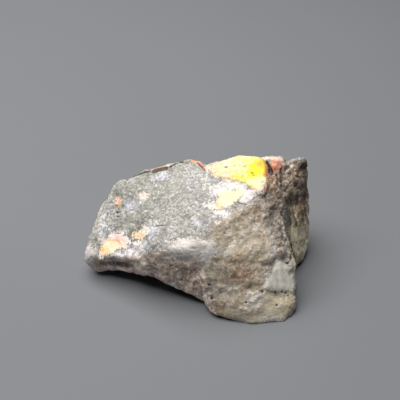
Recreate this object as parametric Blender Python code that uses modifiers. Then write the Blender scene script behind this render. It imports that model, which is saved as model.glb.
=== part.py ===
"""A rough stone: a hand-sized piece of fluorescing rock, broken on every side.

The stone is one solid. It is blocked out from convex lumps whose corners are the
corners of its broken faces. The lumps are fused, their edges are worn, and the
broken skin gets its ledges, striations and pits. It stands on one flat face.

Lengths are millimetres here and become metres where a mesh is made.
X runs to the right along the stone, Y away from its front, Z up.
"""

import math

import bmesh
import bpy
from mathutils import Euler, Vector, noise

MM = 0.001

# Skin of the fused stone, and how far its edges are worn
SKIN_CELL = 0.7
TRIANGLES = 10500
WEAR_ROUNDS = 5
WEAR_STRENGTH = 0.5

# The lumps reach this far below the level that the stone is cut flat at
SINK = 0.6
GROUND_SIDE = 120.0

# Broad swells of the skin: height and length
SWELL_HEIGHT = 0.55
SWELL_LENGTH = 13.0

# Flat chips in two sizes: width, height of the steps, and bevel between chips
CHIP_WIDTH = 7.0
CHIP_STEP = 0.38
SMALL_CHIP_WIDTH = 3.6
SMALL_CHIP_STEP = 0.26
SMALL_CHIP_OFFSET = Vector((31.0, 7.0, 3.0))
CHIP_BEVEL = 0.22

# Grainy tooth of the broken rock: height, length, and how its finer layers follow
TOOTH_HEIGHT = 0.5
TOOTH_LENGTH = 3.2
TOOTH_FALL = 0.8
TOOTH_FINER = 2.1
TOOTH_LAYERS = 3

# Small pits: depth, spacing, and radius and slope as shares of the spacing
PIT_DEPTH = 0.9
PIT_SPACING = 6.5
PIT_RADIUS = 0.3
PIT_SLOPE = 0.22
PIT_SHARE = 0.65

# Neighbouring cells are spread this far apart before a chance is drawn for each
CHANCE_SPREAD = 37.0

# The pale top face looks this way and is this much smoother than the rest
PALE_FACE = Vector((-0.3, -0.5, 0.81)).normalized()
PALE_FACE_TURN = (0.72, 0.9)
PALE_FACE_END = (14.0, 22.0)
PALE_FACE_SMOOTHNESS = 0.75

# The gully between the buttress and the right lobe, with upright ribs along its line
GULLY_LINE = Vector((0.25, -0.42, -0.87)).normalized()
GULLY_CENTRE = (27.5, 3.0, 20.0)
GULLY_REACH = (9.5, 14.0, 20.0)
GULLY_SMOOTHNESS = 0.7
RIB_HEIGHT = 1.1
RIB_SPACING = 2.6
RIB_LENGTH = 22.0
RIB_MIDDLE = 0.5
RIB_SHARPNESS = 2.4

# The pale cleavage face low on the front buttress: its middle, tilt and reach
CLEAVAGE_CENTRE = Vector((28.4, -12.0, 11.9))
CLEAVAGE_FACE = Vector((0.31, -0.83, 0.46)).normalized()
CLEAVAGE_REACH = (8.0, 9.5, 9.0)
CLEAVAGE_FADE = 0.2

# Within this share of its reach a feature has its full strength
FULL_SHARE = 0.35

# Colour and finish of the plain rock
ROCK_COLOUR = (0.36, 0.34, 0.3, 1.0)
ROCK_ROUGHNESS = 0.7

# Corners of the lumps, each named for where it is on the stone
LEFT_WEDGE = {
    "tip": (-38.4, 1.4, 10.0),
    "tip_below": (-36.6, 0.8, 2.2),
    "tip_above": (-36.0, 6.2, 15.4),
    "shoulder": (-32.6, 14.4, 21.4),
    "crest_left": (-26.2, 16.0, 29.0),
    "crest": (-14.5, 17.9, 32.6),
    "lip_left": (-33.4, -0.9, 8.8),
    "lip_middle": (-27.6, -1.9, 10.4),
    "lip_right": (-20.0, -6.2, 13.8),
    "saddle": (-18.2, 1.0, 24.0),
    "hem_left": (-31.1, -0.9, 3.2),
    "hem_middle": (-21.2, -3.8, 5.4),
    "hem_right": (-14.5, -6.8, 7.6),
    "back_tip": (-36.0, 9.5, 4.0),
    "back_shoulder": (-31.5, 20.0, 11.0),
    "back_crest": (-20.0, 23.5, 25.0),
    "sole_left": (-31.0, 12.0, -SINK),
    "sole_back": (-26.0, 22.0, -SINK),
    "sole_inner": (-10.0, 20.0, -SINK),
}
MAIN_BLOCK = {
    "crest_left": (-24.0, 16.2, 30.0),
    "crest_middle": (-12.4, 18.2, 33.5),
    "crest_high": (-2.8, 20.6, 33.8),
    "crest_notch": (2.6, 17.2, 34.0),
    "ridge_left": (-15.1, -8.2, 20.2),
    "ridge_middle": (-8.5, -9.2, 23.8),
    "ridge_bend": (-1.0, -11.0, 24.4),
    "ridge_corner": (8.0, -4.8, 29.2),
    "brow": (14.0, -1.0, 30.8),
    "brow_right": (21.5, 5.2, 31.8),
    "front_hem_left": (-14.8, -7.0, 7.2),
    "front_hem_middle": (-7.3, -10.4, 5.0),
    "front_hem_right": (0.5, -13.4, 3.0),
    "front_foot": (6.0, -14.0, -SINK),
    "right_foot": (31.5, 3.0, -SINK),
    "back_right_foot": (31.0, 25.0, -SINK),
    "back_foot": (6.0, 29.5, -SINK),
    "back_left_foot": (-19.0, 25.5, -SINK),
    "back_left": (-19.0, 25.0, 21.0),
    "back_top": (-2.0, 26.5, 28.0),
    "back_right_top": (27.0, 24.4, 32.2),
    "gully_floor": (31.0, 4.5, 12.0),
    "gully_floor_high": (29.0, 8.0, 26.0),
}
FRONT_BUTTRESS = {
    "top_left": (2.6, -9.4, 25.6),
    "top_ridge": (8.0, -4.9, 28.9),
    "top_brow": (14.0, -1.2, 30.6),
    "top_right": (21.8, 4.4, 31.4),
    "gully_top": (28.2, 6.2, 26.0),
    "gully_middle": (30.4, 3.6, 16.5),
    "edge_upper": (32.2, -8.8, 16.6),
    "edge_middle": (32.4, -12.0, 10.2),
    "edge_lower": (33.0, -15.2, 3.0),
    "toe_right": (31.5, -17.2, -SINK),
    "toe_front_right": (28.4, -21.6, -SINK),
    "toe_front": (20.8, -22.0, -SINK),
    "toe_left": (13.0, -21.2, 0.2),
    "toe_far_left": (7.6, -20.2, 1.2),
    "heel_left": (3.4, -18.0, 2.2),
    "rib_low": (2.0, -15.0, 4.2),
    "rib_high": (1.2, -11.2, 19.0),
    "inner_left": (6.0, -6.0, -SINK),
    "inner_right": (31.0, 2.0, -SINK),
}
RIGHT_LOBE = {
    "peak": (36.4, 18.4, 38.6),
    "peak_left": (31.8, 17.8, 35.6),
    "notch": (29.6, 19.2, 33.8),
    "gully_top": (28.4, 7.4, 26.0),
    "gully_middle": (31.0, 5.0, 16.5),
    "gully_foot": (33.2, 1.6, 8.0),
    "sole_front": (33.6, 3.2, -SINK),
    "sole_right": (37.2, 6.8, -SINK),
    "flank_low": (39.2, 9.6, 2.4),
    "flank_bulge": (39.9, 14.2, 9.2),
    "flank_middle": (38.3, 17.0, 17.0),
    "flank_upper": (37.7, 19.2, 24.0),
    "back_peak": (33.5, 23.0, 31.8),
    "back_flank": (36.5, 24.5, 15.0),
    "sole_back": (33.0, 26.0, -SINK),
    "inner_top": (24.0, 22.0, 30.0),
    "inner_sole": (24.0, 18.0, -SINK),
}
GLOW_PLATEAU = {
    "back_left": (4.6, 17.9, 35.5),
    "rise": (8.8, 17.4, 37.2),
    "dome_left": (13.9, 17.6, 38.9),
    "dome_right": (18.2, 16.8, 39.3),
    "corner": (22.0, 16.0, 38.9),
    "edge_top": (23.3, 14.2, 37.6),
    "edge_bottom": (22.7, 6.0, 33.7),
    "toe_right": (21.4, 4.4, 32.4),
    "toe": (17.2, 1.0, 31.2),
    "toe_left": (10.0, 1.4, 30.8),
    "left_rim": (4.4, 10.4, 34.7),
    "back_left_deep": (7.0, 21.5, 32.5),
    "back_right_deep": (20.0, 22.0, 34.5),
    "under_left": (8.0, 6.0, 27.0),
    "under_right": (20.5, 8.0, 27.0),
}
RED_KNOB = {
    "top_left": (24.2, 17.8, 38.3),
    "top": (26.4, 18.4, 38.7),
    "top_right": (28.6, 18.2, 37.6),
    "right": (29.3, 16.6, 35.0),
    "front": (27.4, 13.0, 33.2),
    "front_left": (25.2, 14.0, 34.4),
    "behind_groove": (21.0, 19.4, 38.0),
    "back_left": (20.0, 22.5, 34.0),
    "back_right": (29.0, 22.5, 33.0),
    "under": (26.5, 16.0, 28.0),
}
GULLY_HEAD = {
    "top_left": (22.6, 17.2, 35.4),
    "top_right": (30.0, 18.6, 34.2),
    "middle_left": (23.0, 11.0, 33.2),
    "middle_right": (30.2, 12.0, 30.6),
    "low_left": (22.6, 5.0, 29.6),
    "low_right": (28.8, 6.8, 26.4),
    "back_left": (22.0, 23.2, 34.0),
    "back_right": (31.0, 23.2, 32.0),
    "under": (25.0, 12.0, 20.0),
}
LIP_ROLL = {
    "left": (-34.2, -0.8, 9.2),
    "middle": (-28.6, -2.9, 10.0),
    "right": (-21.0, -5.8, 12.6),
    "top_left": (-34.0, 2.6, 13.0),
    "top_right": (-19.5, -3.4, 16.6),
    "under_left": (-32.0, 0.5, 8.2),
    "under_right": (-21.0, -2.5, 11.0),
}
SADDLE_FILL = {
    "ridge": (-14.6, -8.4, 20.2),
    "saddle": (-17.8, 1.5, 24.2),
    "face": (-25.0, 2.0, 17.2),
    "lip": (-21.4, -5.6, 13.0),
    "hem": (-16.0, -7.8, 12.0),
    "under": (-18.0, 0.0, 12.0),
}
BACK_LEDGE = {
    "left_low": (-18.0, 26.6, -SINK),
    "right_low": (14.0, 31.2, -SINK),
    "far_right": (21.0, 28.6, 5.0),
    "left_top": (-15.0, 26.8, 9.0),
    "right_top": (10.0, 30.2, 15.0),
    "inner_left": (-15.0, 20.0, 9.0),
    "inner_right": (12.0, 22.0, 14.0),
    "inner_low": (0.0, 16.0, -SINK),
}
HEM_LOBE = {
    "top_left": (-21.8, -4.6, 12.6),
    "top_right": (-16.6, -8.4, 14.0),
    "bulge": (-18.6, -7.6, 10.4),
    "right": (-14.4, -8.0, 9.0),
    "bottom_left": (-21.0, -4.2, 5.6),
    "bottom_right": (-15.6, -6.8, 6.6),
    "inner": (-17.0, 0.0, 10.0),
}
CREST_CRUST = {
    "left": (-17.6, 17.0, 32.2),
    "middle": (-11.0, 18.0, 34.2),
    "right": (-5.0, 19.9, 35.9),
    "end": (-1.0, 20.4, 35.6),
    "back_left": (-15.0, 21.5, 29.6),
    "back_right": (-2.0, 23.5, 32.0),
    "under": (-8.0, 20.0, 29.0),
}
NOTCH_CHIP = {
    "left": (0.2, 19.2, 35.4),
    "top": (1.2, 19.0, 35.2),
    "right": (1.9, 19.4, 34.4),
    "front": (1.2, 17.6, 34.9),
    "back": (0.6, 23.0, 32.0),
    "under": (1.0, 19.0, 30.0),
}

LUMPS = {
    "left_wedge": LEFT_WEDGE,
    "main_block": MAIN_BLOCK,
    "front_buttress": FRONT_BUTTRESS,
    "right_lobe": RIGHT_LOBE,
    "glow_plateau": GLOW_PLATEAU,
    "red_knob": RED_KNOB,
    "gully_head": GULLY_HEAD,
    "lip_roll": LIP_ROLL,
    "saddle_fill": SADDLE_FILL,
    "back_ledge": BACK_LEDGE,
    "hem_lobe": HEM_LOBE,
    "crest_crust": CREST_CRUST,
    "notch_chip": NOTCH_CHIP,
}

# Hollows cut into the fused lumps: centre, half sizes and turn in degrees
HOLLOWS = {
    "lip_recess_left": ((-30.4, -1.9, 7.9), (4.4, 2.0, 1.2), (0, -6, -12)),
    "lip_recess_right": ((-25.2, -3.6, 8.7), (5.0, 2.9, 1.6), (0, -16, -24)),
    "crest_nick": ((3.3, 21.0, 33.3), (1.6, 7.0, 1.3), (-40, 12, 0)),
    "sole_arch": ((-11.0, 0.0, -3.0), (13.0, 14.0, 5.5), (0, 4, -28)),
}


def clear_scene():
    """Remove every object that the start file brings along."""
    for obj in list(bpy.data.objects):
        bpy.data.objects.remove(obj, do_unlink=True)


def new_collection(name):
    made = bpy.data.collections.new(name)
    bpy.context.scene.collection.children.link(made)
    return made


def as_cutter(obj):
    obj.hide_render = True
    obj.display_type = "WIRE"
    return obj


def new_lump(name, corners, into):
    """A convex broken block through its named corners."""
    shape = bmesh.new()
    for corner in corners.values():
        shape.verts.new(Vector(corner) * MM)
    hull = bmesh.ops.convex_hull(shape, input=shape.verts)
    inside = [v for v in hull["geom_interior"] if isinstance(v, bmesh.types.BMVert)]
    bmesh.ops.delete(shape, geom=inside, context="VERTS")
    bmesh.ops.recalc_face_normals(shape, faces=shape.faces)
    mesh = bpy.data.meshes.new(name)
    shape.to_mesh(mesh)
    shape.free()
    obj = bpy.data.objects.new(name, mesh)
    into.objects.link(obj)
    return as_cutter(obj)


def new_hollow(name, centre, half_sizes, turn, into):
    """A stretched ball that scoops a hollow out of the stone."""
    shape = bmesh.new()
    bmesh.ops.create_icosphere(shape, subdivisions=3, radius=1.0)
    bmesh.ops.scale(shape, vec=Vector(half_sizes) * MM, verts=shape.verts)
    mesh = bpy.data.meshes.new(name)
    shape.to_mesh(mesh)
    shape.free()
    obj = bpy.data.objects.new(name, mesh)
    obj.location = Vector(centre) * MM
    obj.rotation_euler = Euler([math.radians(angle) for angle in turn])
    into.objects.link(obj)
    return as_cutter(obj)


def add_boolean(obj, operation, other):
    step = obj.modifiers.new(operation.lower() + "_" + other.name, "BOOLEAN")
    step.operation = operation
    step.solver = "EXACT"
    step.object = other


def freeze(obj):
    """Apply the modifiers, so that the skin can be worked vertex by vertex."""
    graph = bpy.context.evaluated_depsgraph_get()
    mesh = bpy.data.meshes.new_from_object(obj.evaluated_get(graph))
    obj.modifiers.clear()
    obj.data = mesh


def fuse(name, lumps, hollows, into):
    """Union the lumps, scoop the hollows and give the result an even skin."""
    obj = bpy.data.objects.new(name, lumps[0].data.copy())
    into.objects.link(obj)
    for other in lumps[1:]:
        add_boolean(obj, "UNION", other)
    for other in hollows:
        add_boolean(obj, "DIFFERENCE", other)
    skin = obj.modifiers.new("even_skin", "REMESH")
    skin.mode = "VOXEL"
    skin.voxel_size = SKIN_CELL * MM
    freeze(obj)
    return obj


def ramp(value, low, high):
    """Rises smoothly from 0 at low to 1 at high."""
    t = min(1.0, max(0.0, (value - low) / (high - low)))
    return t * t * (3.0 - 2.0 * t)


def near(point, centre, reach):
    """1 at the centre, falling smoothly to 0 at reach in each direction."""
    away = Vector([(p - c) / r for p, c, r in zip(point, centre, reach)]).length
    return 1.0 - ramp(away, FULL_SHARE, 1.0)


def chance(cell):
    """A number from 0 to 1 that is the same all over one cell."""
    return noise.cell(cell * CHANCE_SPREAD)


def roughness(point, normal):
    """How rough a place is: the pale top face and the gully are smoother."""
    pale_top = ramp(normal.dot(PALE_FACE), *PALE_FACE_TURN)
    pale_top *= 1.0 - ramp(point.x, *PALE_FACE_END)
    ribbed = near(point, GULLY_CENTRE, GULLY_REACH)
    return (1.0 - PALE_FACE_SMOOTHNESS * pale_top) * (1.0 - GULLY_SMOOTHNESS * ribbed)


def chips(point, width):
    """Flat chips at unlike heights, with steps between them."""
    distances, cells = noise.voronoi(point / width)
    return chance(cells[0]) * ramp(distances[1] - distances[0], 0.0, CHIP_BEVEL)


def tooth(point):
    """Grainy unevenness of broken rock, around 0."""
    return noise.fractal(
        point / TOOTH_LENGTH,
        TOOTH_FALL,
        TOOTH_FINER,
        TOOTH_LAYERS,
        noise_basis="PERLIN_ORIGINAL",
    )


def gully_ribs(point):
    """Upright ribs in the gully between the front buttress and the right lobe."""
    along = GULLY_LINE * point.dot(GULLY_LINE)
    across = (point - along) / RIB_SPACING + along / RIB_LENGTH
    ribs = RIB_MIDDLE - RIB_SHARPNESS * abs(noise.noise(across))
    return ribs * near(point, GULLY_CENTRE, GULLY_REACH)


def pits(point):
    """Scattered small pits where grains have fallen out."""
    distances, cells = noise.voronoi(point / PIT_SPACING)
    if chance(cells[0]) > PIT_SHARE:
        return 0.0
    return ramp(PIT_RADIUS - distances[0], 0.0, PIT_SLOPE)


def split_flat(point):
    """Take off what stands over the plane that the front buttress split along."""
    here = ramp(near(point, CLEAVAGE_CENTRE, CLEAVAGE_REACH), 0.0, CLEAVAGE_FADE)
    over = max(0.0, (point - CLEAVAGE_CENTRE).dot(CLEAVAGE_FACE))
    return point - CLEAVAGE_FACE * over * here


def relief(point, normal):
    """Height of the broken skin over the worn lump, in millimetres."""
    height = CHIP_STEP * chips(point, CHIP_WIDTH)
    height += SMALL_CHIP_STEP * chips(point + SMALL_CHIP_OFFSET, SMALL_CHIP_WIDTH)
    height += TOOTH_HEIGHT * tooth(point)
    height -= PIT_DEPTH * pits(point)
    height *= roughness(point, normal)
    height += SWELL_HEIGHT * noise.noise(point / SWELL_LENGTH)
    height += RIB_HEIGHT * gully_ribs(point)
    return height


def wear_and_break(obj):
    """Wear the edges, then raise and lower the skin along its normals."""
    skin = bmesh.new()
    skin.from_mesh(obj.data)
    for _ in range(WEAR_ROUNDS):
        bmesh.ops.smooth_vert(
            skin,
            verts=skin.verts,
            factor=WEAR_STRENGTH,
            use_axis_x=True,
            use_axis_y=True,
            use_axis_z=True,
        )
    skin.normal_update()
    for vert in skin.verts:
        point = vert.co / MM
        vert.co = split_flat(point + vert.normal * relief(point, vert.normal)) * MM
    bmesh.ops.triangulate(skin, faces=skin.faces)
    skin.to_mesh(obj.data)
    skin.free()


def new_ground(into):
    """A block whose top is the level that the stone stands on."""
    bpy.ops.mesh.primitive_cube_add(size=GROUND_SIDE * MM)
    ground = bpy.context.active_object
    ground.name = "ground"
    ground.location.z = -GROUND_SIDE * MM / 2
    for old in list(ground.users_collection):
        old.objects.unlink(ground)
    into.objects.link(ground)
    return as_cutter(ground)


def finish_in_rock(obj):
    """Give the stone its own plain rock material."""
    rock = bpy.data.materials.new(obj.name)
    rock.use_nodes = True
    shader = rock.node_tree.nodes["Principled BSDF"]
    shader.inputs["Base Color"].default_value = ROCK_COLOUR
    shader.inputs["Roughness"].default_value = ROCK_ROUGHNESS
    shader.inputs["Metallic"].default_value = 0.0
    obj.data.materials.clear()
    obj.data.materials.append(rock)


def centre_over_origin(obj):
    """Put the middle of the stone's box over the origin."""
    xs = [v.co.x for v in obj.data.vertices]
    ys = [v.co.y for v in obj.data.vertices]
    shift = Vector((-(min(xs) + max(xs)) / 2, -(min(ys) + max(ys)) / 2, 0.0))
    for vert in obj.data.vertices:
        vert.co += shift
    return shift


def main():
    clear_scene()
    stone_parts = new_collection("rough_stone_parts")
    cutters = new_collection("lumps_and_cutters")
    lumps = [new_lump(name, corners, cutters) for name, corners in LUMPS.items()]
    hollows = [
        new_hollow(name, centre, half_sizes, turn, cutters)
        for name, (centre, half_sizes, turn) in HOLLOWS.items()
    ]
    stone = fuse("rough_stone", lumps, hollows, stone_parts)
    wear_and_break(stone)
    thin = stone.modifiers.new("fewer_faces", "DECIMATE")
    thin.ratio = TRIANGLES / len(stone.data.polygons)
    add_boolean(stone, "DIFFERENCE", new_ground(cutters))
    freeze(stone)
    finish_in_rock(stone)
    return centre_over_origin(stone)


if __name__ == "__main__":
    main()
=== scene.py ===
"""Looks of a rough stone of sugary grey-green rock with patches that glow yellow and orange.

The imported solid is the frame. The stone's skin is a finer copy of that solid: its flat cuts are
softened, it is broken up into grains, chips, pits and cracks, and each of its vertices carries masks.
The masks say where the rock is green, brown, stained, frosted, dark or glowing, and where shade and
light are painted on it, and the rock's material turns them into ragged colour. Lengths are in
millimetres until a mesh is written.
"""
import math

import bpy
import numpy as np
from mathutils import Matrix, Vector, noise


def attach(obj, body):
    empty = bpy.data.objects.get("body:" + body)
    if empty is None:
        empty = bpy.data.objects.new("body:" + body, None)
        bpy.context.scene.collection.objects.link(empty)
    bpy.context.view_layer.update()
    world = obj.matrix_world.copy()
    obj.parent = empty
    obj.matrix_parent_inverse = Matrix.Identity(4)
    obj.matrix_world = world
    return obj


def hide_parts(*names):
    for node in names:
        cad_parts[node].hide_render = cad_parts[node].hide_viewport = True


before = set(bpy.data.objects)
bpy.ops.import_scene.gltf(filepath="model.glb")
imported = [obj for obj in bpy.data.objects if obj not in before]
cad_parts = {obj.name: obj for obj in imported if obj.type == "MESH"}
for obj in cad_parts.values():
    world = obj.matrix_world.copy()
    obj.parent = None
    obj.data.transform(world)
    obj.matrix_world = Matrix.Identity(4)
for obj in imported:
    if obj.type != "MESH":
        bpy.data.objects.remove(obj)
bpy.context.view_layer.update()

MM = 0.001

# The camera looks down on the stone from the front, and its aim is the middle of the picture.
CAMERA_AIM = np.array((0.19, 4.67, 26.5))
CAMERA_LOOKS_DOWN = math.radians(40)
CAMERA_DISTANCE = 259.0
CAMERA_LENS = 70.0
CAMERA_SENSOR = 36.0

SIGHT_BACK = np.array((0.0, -math.cos(CAMERA_LOOKS_DOWN), math.sin(CAMERA_LOOKS_DOWN)))
SIGHT_RIGHT = np.array((1.0, 0.0, 0.0))
SIGHT_UP = np.cross(SIGHT_BACK, SIGHT_RIGHT)
CAMERA_PLACE = CAMERA_AIM + SIGHT_BACK * CAMERA_DISTANCE

# How finely the skin is made: its voxel in mm, the triangles kept, and the rounds of smoothing.
SKIN_VOXEL = 0.29
SKIN_TRIANGLES = 194000
FACET_SOFTENING = 9
EDGE_WEAR = 110

# The tilts of the grains are drawn from this seed, so that each run gives the same stone.
GRAIN_SEED = 7
noise.seed_set(GRAIN_SEED)

# How far each kind of relief stands out or goes in, in mm.
UNEVENNESS = 0.22
FINE_GRAINS = 0.10
COARSE_GRAINS = 0.16
CHIPS = 0.26
LUMPS = 0.10
PATCHY_LUMPS = 0.24
RIBS = 0.46
SPLIT_STEPS = 0.35
PLATEAU_STEP = 0.30
CRACK_DEPTH = 0.38
SEAM_DEPTH = 0.12
PALE_LUMP_HEIGHT = 0.22
HOLLOW_DEPTH = 0.7
CLEAVAGE_LEAN = 0.045
CLEAVAGE_FOLD_DEPTH = 0.20

# How wide each kind of relief is, in mm.
UNEVEN_WIDTH = 7.0
FINE_GRAIN_WIDTH = 1.0
COARSE_GRAIN_WIDTH = 2.3
CHIP_WIDTH = 3.6
LUMP_WIDTH = 2.2
RIB_WIDTH = 1.5
RIB_STRETCH = 7.0
SPLIT_WIDTH = 2.6
FOLD_REACH = 3.4

# The edges of the parts of the stone wander to the side by up to this much, in mm.
EDGE_WANDER = 0.9
CLEAVAGE_WANDERS_LESS = 0.2

# Outlines on the picture plane, in mm to the right and up of the aim point. Each goes round a part.
SLOPE = [
    (-40, -17), (-38, -13), (-36, -7), (-33, -1), (-29, 5), (-24, 9), (-13, 12), (-2, 15), (2.3, 10.3),
    (3.3, 6.7), (4.5, 2), (5.5, -3), (2, -8.3), (-5, -13), (-13.3, -16), (-20, -18.3), (-24.7, -18.9),
    (-33, -19.5), (-38, -21),
]
UNDER_LIP = [
    (-39, -20.6), (-33, -19.8), (-28.7, -19.4), (-24.7, -19.1), (-20, -18.8), (-17, -21), (-19, -26),
    (-30, -26), (-39, -23),
]
BROKEN_FRONT = [
    (-22, -18.6), (-13.3, -16.9), (-5, -15), (0, -17.5), (2.2, -26), (4.2, -33), (5.3, -38.6), (1, -37),
    (-5, -31.5), (-13, -27.5), (-21, -25.5),
]
BUTTRESS = [
    (0, -16), (4, -9.5), (7.5, -7), (13, -3.5), (17.5, -1), (21.3, 1), (22, -3), (22.8, -11), (24, -18),
    (21, -28), (20.5, -40), (13, -41), (5, -39), (3.5, -33), (1.5, -24),
]
GULLY = [
    (21.3, 1), (22.5, 9), (24, 12), (28, 11.5), (29, 6), (28.5, -2), (29.3, -10), (30.6, -20),
    (27.6, -21), (25.3, -18), (23, -11), (22, -3),
]
LOBE_TOP = [(26.5, 11), (28, 12.5), (33, 13.5), (36, 13), (36.5, 2), (34, -1.5), (30, -1.5), (28.6, 4)]
LOBE_MIDDLE = [(28.6, 1), (36.5, 1), (37, -8), (30, -9.5), (29, -5)]
LOBE_FOOT = [(29.8, -8), (37.5, -5), (37.5, -14), (35, -19), (32, -22), (29.8, -21)]
CLEAVAGE = [
    (25.8, -19.4), (24.6, -21.8), (24.0, -24.6), (21.6, -27.0), (20.6, -29.4), (23.2, -29.5), (26, -30.3),
    (28.4, -29.9), (31.2, -29.7), (31.4, -27.0), (30.8, -24.4), (29.4, -23.4), (28.6, -21.2),
    (27.2, -20.8),
]
CORNER = [
    (22, -30.2), (25, -30.2), (31.2, -29.8), (31.6, -34.7), (28, -39.5), (23.3, -41.5), (18.3, -41),
    (20.5, -35.5),
]
HEM_BAND = [(11.5, -37.2), (17.5, -37.8), (20.5, -40.5), (13.3, -41), (8.3, -39)]
RIDGE_TOP = [
    (-13, -15.8), (-6, -14), (0, -13.8), (4, -12), (4.6, -15), (3.0, -19.2), (-1, -19.4), (-6, -19.2),
    (-12, -18.8),
]
OLIVE_STRIP = [(0.5, -16), (5, -16.5), (5.5, -23), (2.5, -24)]

# The parts of the stone that the camera sees: outline, and how soft its edge is in mm.
PARTS = {
    "slope": (SLOPE, 1.0),
    "under_lip": (UNDER_LIP, 0.5),
    "broken_front": (BROKEN_FRONT, 1.2),
    "buttress": (BUTTRESS, 2.4),
    "gully": (GULLY, 2.2),
    "lobe_top": (LOBE_TOP, 1.4),
    "lobe_middle": (LOBE_MIDDLE, 1.5),
    "lobe_foot": (LOBE_FOOT, 1.5),
    "cleavage": (CLEAVAGE, 1.2),
    "corner": (CORNER, 1.8),
    "hem_band": (HEM_BAND, 0.7),
    "ridge_top": (RIDGE_TOP, 1.8),
    "olive_strip": (OLIVE_STRIP, 1.4),
}

# How chipped, how calm and how ribbed each part is. "hidden" is what the camera doesn't see.
CHIPPED_PARTS = {"buttress": 0.28, "broken_front": 0.7, "gully": 0.35, "lobe_top": 1.0, "lobe_middle": 0.6,
                 "hidden": 0.75}
CALM_PARTS = {"cleavage": 1.0, "corner": 0.7, "hem_band": 0.7, "lobe_foot": 0.6, "under_lip": 0.5}
RIBBED_PARTS = {"gully": 1.0, "lobe_top": 0.8, "lobe_middle": 0.8, "lobe_foot": 0.4}

# The glowing patches, seen the same way.
PLATEAU_GLOW = [
    (2.9, 9.8), (4.0, 11.5), (5.3, 12.2), (8, 13.4), (10.3, 14.4), (13, 15.2), (17, 14.9), (19.3, 14.2),
    (21.4, 13.1), (22.1, 10.7), (22.2, 6.7), (21.7, 4.3), (20.5, 2.7), (18.6, 2.4), (17.1, 3.8),
    (15, 5.5), (12.7, 6.3), (9.7, 6.7), (6.7, 7.5), (4.3, 8.5),
]
LOWER_GLOW = [
    (5.7, 1.3), (7.7, 2.7), (10.7, 3.3), (13.7, 3.8), (14.7, 2.3), (13.3, 0.3), (11, -0.7), (9, -1.9),
    (6.7, -2.7), (4.3, -3.2), (3, -2.7), (4.7, -1), (6.3, 0),
]
WHITE_EDGE = [(15.6, 3.7), (20.3, 2.9), (18.6, 1.3), (16.3, -0.3), (14.3, -1.3), (12.7, -1), (13.6, 1.3)]
LEFT_GLOW = [
    (-33.8, -17.9), (-32.9, -15.5), (-30.5, -12.6), (-29, -11.2), (-26.2, -11.2), (-23.8, -12.9),
    (-23.6, -14.5), (-24.8, -15.5), (-27.6, -16.2), (-29, -17.1), (-31, -17.9), (-31.9, -18.6),
    (-33.3, -18.6),
]
SMALL_GLOW = [
    (-22.4, -11.2), (-19, -10.2), (-17.6, -9.3), (-18.1, -11.2), (-19, -12.6), (-21, -13.1),
    (-22.1, -12.9),
]
NOTCH_GLOW = [(2.7, 10.4), (3.4, 11.6), (5.2, 12.2), (4.9, 10.6), (3.6, 9.8)]

# Round spots on the picture plane: right, up, reach to the side, reach upwards.
GLOW_SPOTS = [
    (-18.8, 1.3, 1.2, 0.95), (-27.1, -0.4, 1.15, 0.9), (-20.7, -14.4, 1.0, 0.5), (-33.3, -19.1, 0.7, 0.4),
    (-1.8, 13.2, 0.9, 0.4),
]
BLACK_DOTS = [
    (-27.5, -4.2, 0.5, 0.36), (-27.4, -5.5, 0.36, 0.26), (25.1, -30.8, 0.34, 0.36),
    (27.3, -30.7, 0.34, 0.3), (28.6, -31.0, 0.38, 0.36), (25.5, -31.8, 0.16, 0.18),
    (29.3, -31.8, 0.18, 0.2), (25.6, -35.1, 0.42, 0.42), (20.7, -30.5, 0.4, 0.34),
    (29.0, -21.1, 0.45, 0.26), (24.9, -19.7, 0.3, 0.24), (15.3, -34.2, 0.4, 0.34),
    (3.9, -32.7, 0.5, 0.45), (3.2, -28.2, 0.5, 0.3), (33.0, -16.7, 0.24, 0.5), (8.7, 11.0, 0.55, 0.17),
    (11.5, 11.2, 0.3, 0.12), (13.2, 11.3, 0.3, 0.12), (15.0, 11.2, 0.34, 0.11), (17.4, 9.0, 0.4, 0.13),
    (17.8, 8.1, 0.34, 0.12), (20.7, 5.7, 0.34, 0.13), (17, 4.4, 0.3, 0.1),
]
PALE_LUMPS = [
    (20.0, -31.9, 1.25, 1.0), (17.3, -33.5, 1.2, 0.95), (15.5, -36.3, 0.95, 0.95),
    (21.9, -30.7, 0.8, 0.6), (19.6, -33.9, 0.6, 0.5), (19.2, -35.7, 0.8, 0.6), (13.4, -35.9, 1.1, 0.8),
    (-5.6, -28.9, 0.6, 0.3), (-18.5, -23.9, 1.4, 0.7), (-12.6, -24.4, 1.1, 0.7),
]

# Where an edge of the stone is worn round: right, up, reach to the side, reach upwards, strength.
SOFTENED_AREAS = [
    (-10, -17.0, 4.4, 3.0, 1.0), (-4, -16.6, 4.6, 3.4, 1.0), (2, -16.0, 3.8, 4.0, 1.0),
    (7.6, -12, 3.4, 2.8, 0.9), (-16.5, -18.0, 3.6, 2.4, 0.9), (-36.4, -18.6, 4.4, 4.4, 1.0),
    (-31, -22.0, 5.0, 1.2, 0.4), (20.4, -33, 3.0, 5.0, 0.9), (29, -35, 3.0, 4.0, 0.8),
    (14, -39, 6.0, 1.6, 0.8), (25, -38, 4.0, 3.0, 0.8), (2.0, -35.4, 3.0, 2.6, 1.0),
]

# Where the skin swells out: right, up, reach to the side, reach upwards, height in mm. A height
# below 0 is pressed in.
SWELLINGS = [
    (-6.5, -17.6, 7.0, 2.0, 0.5), (1.4, -17.4, 3.6, 2.6, 0.6), (-18.0, -21.4, 2.6, 2.0, 0.5),
    (-27.0, -18.9, 6.5, 1.5, 1.0), (-27.4, 4.4, 4.0, 3.2, 1.3), (-36.8, -19.6, 2.8, 2.0, 1.0),
    (0.4, -34.6, 2.8, 2.4, -1.5),
]
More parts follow.
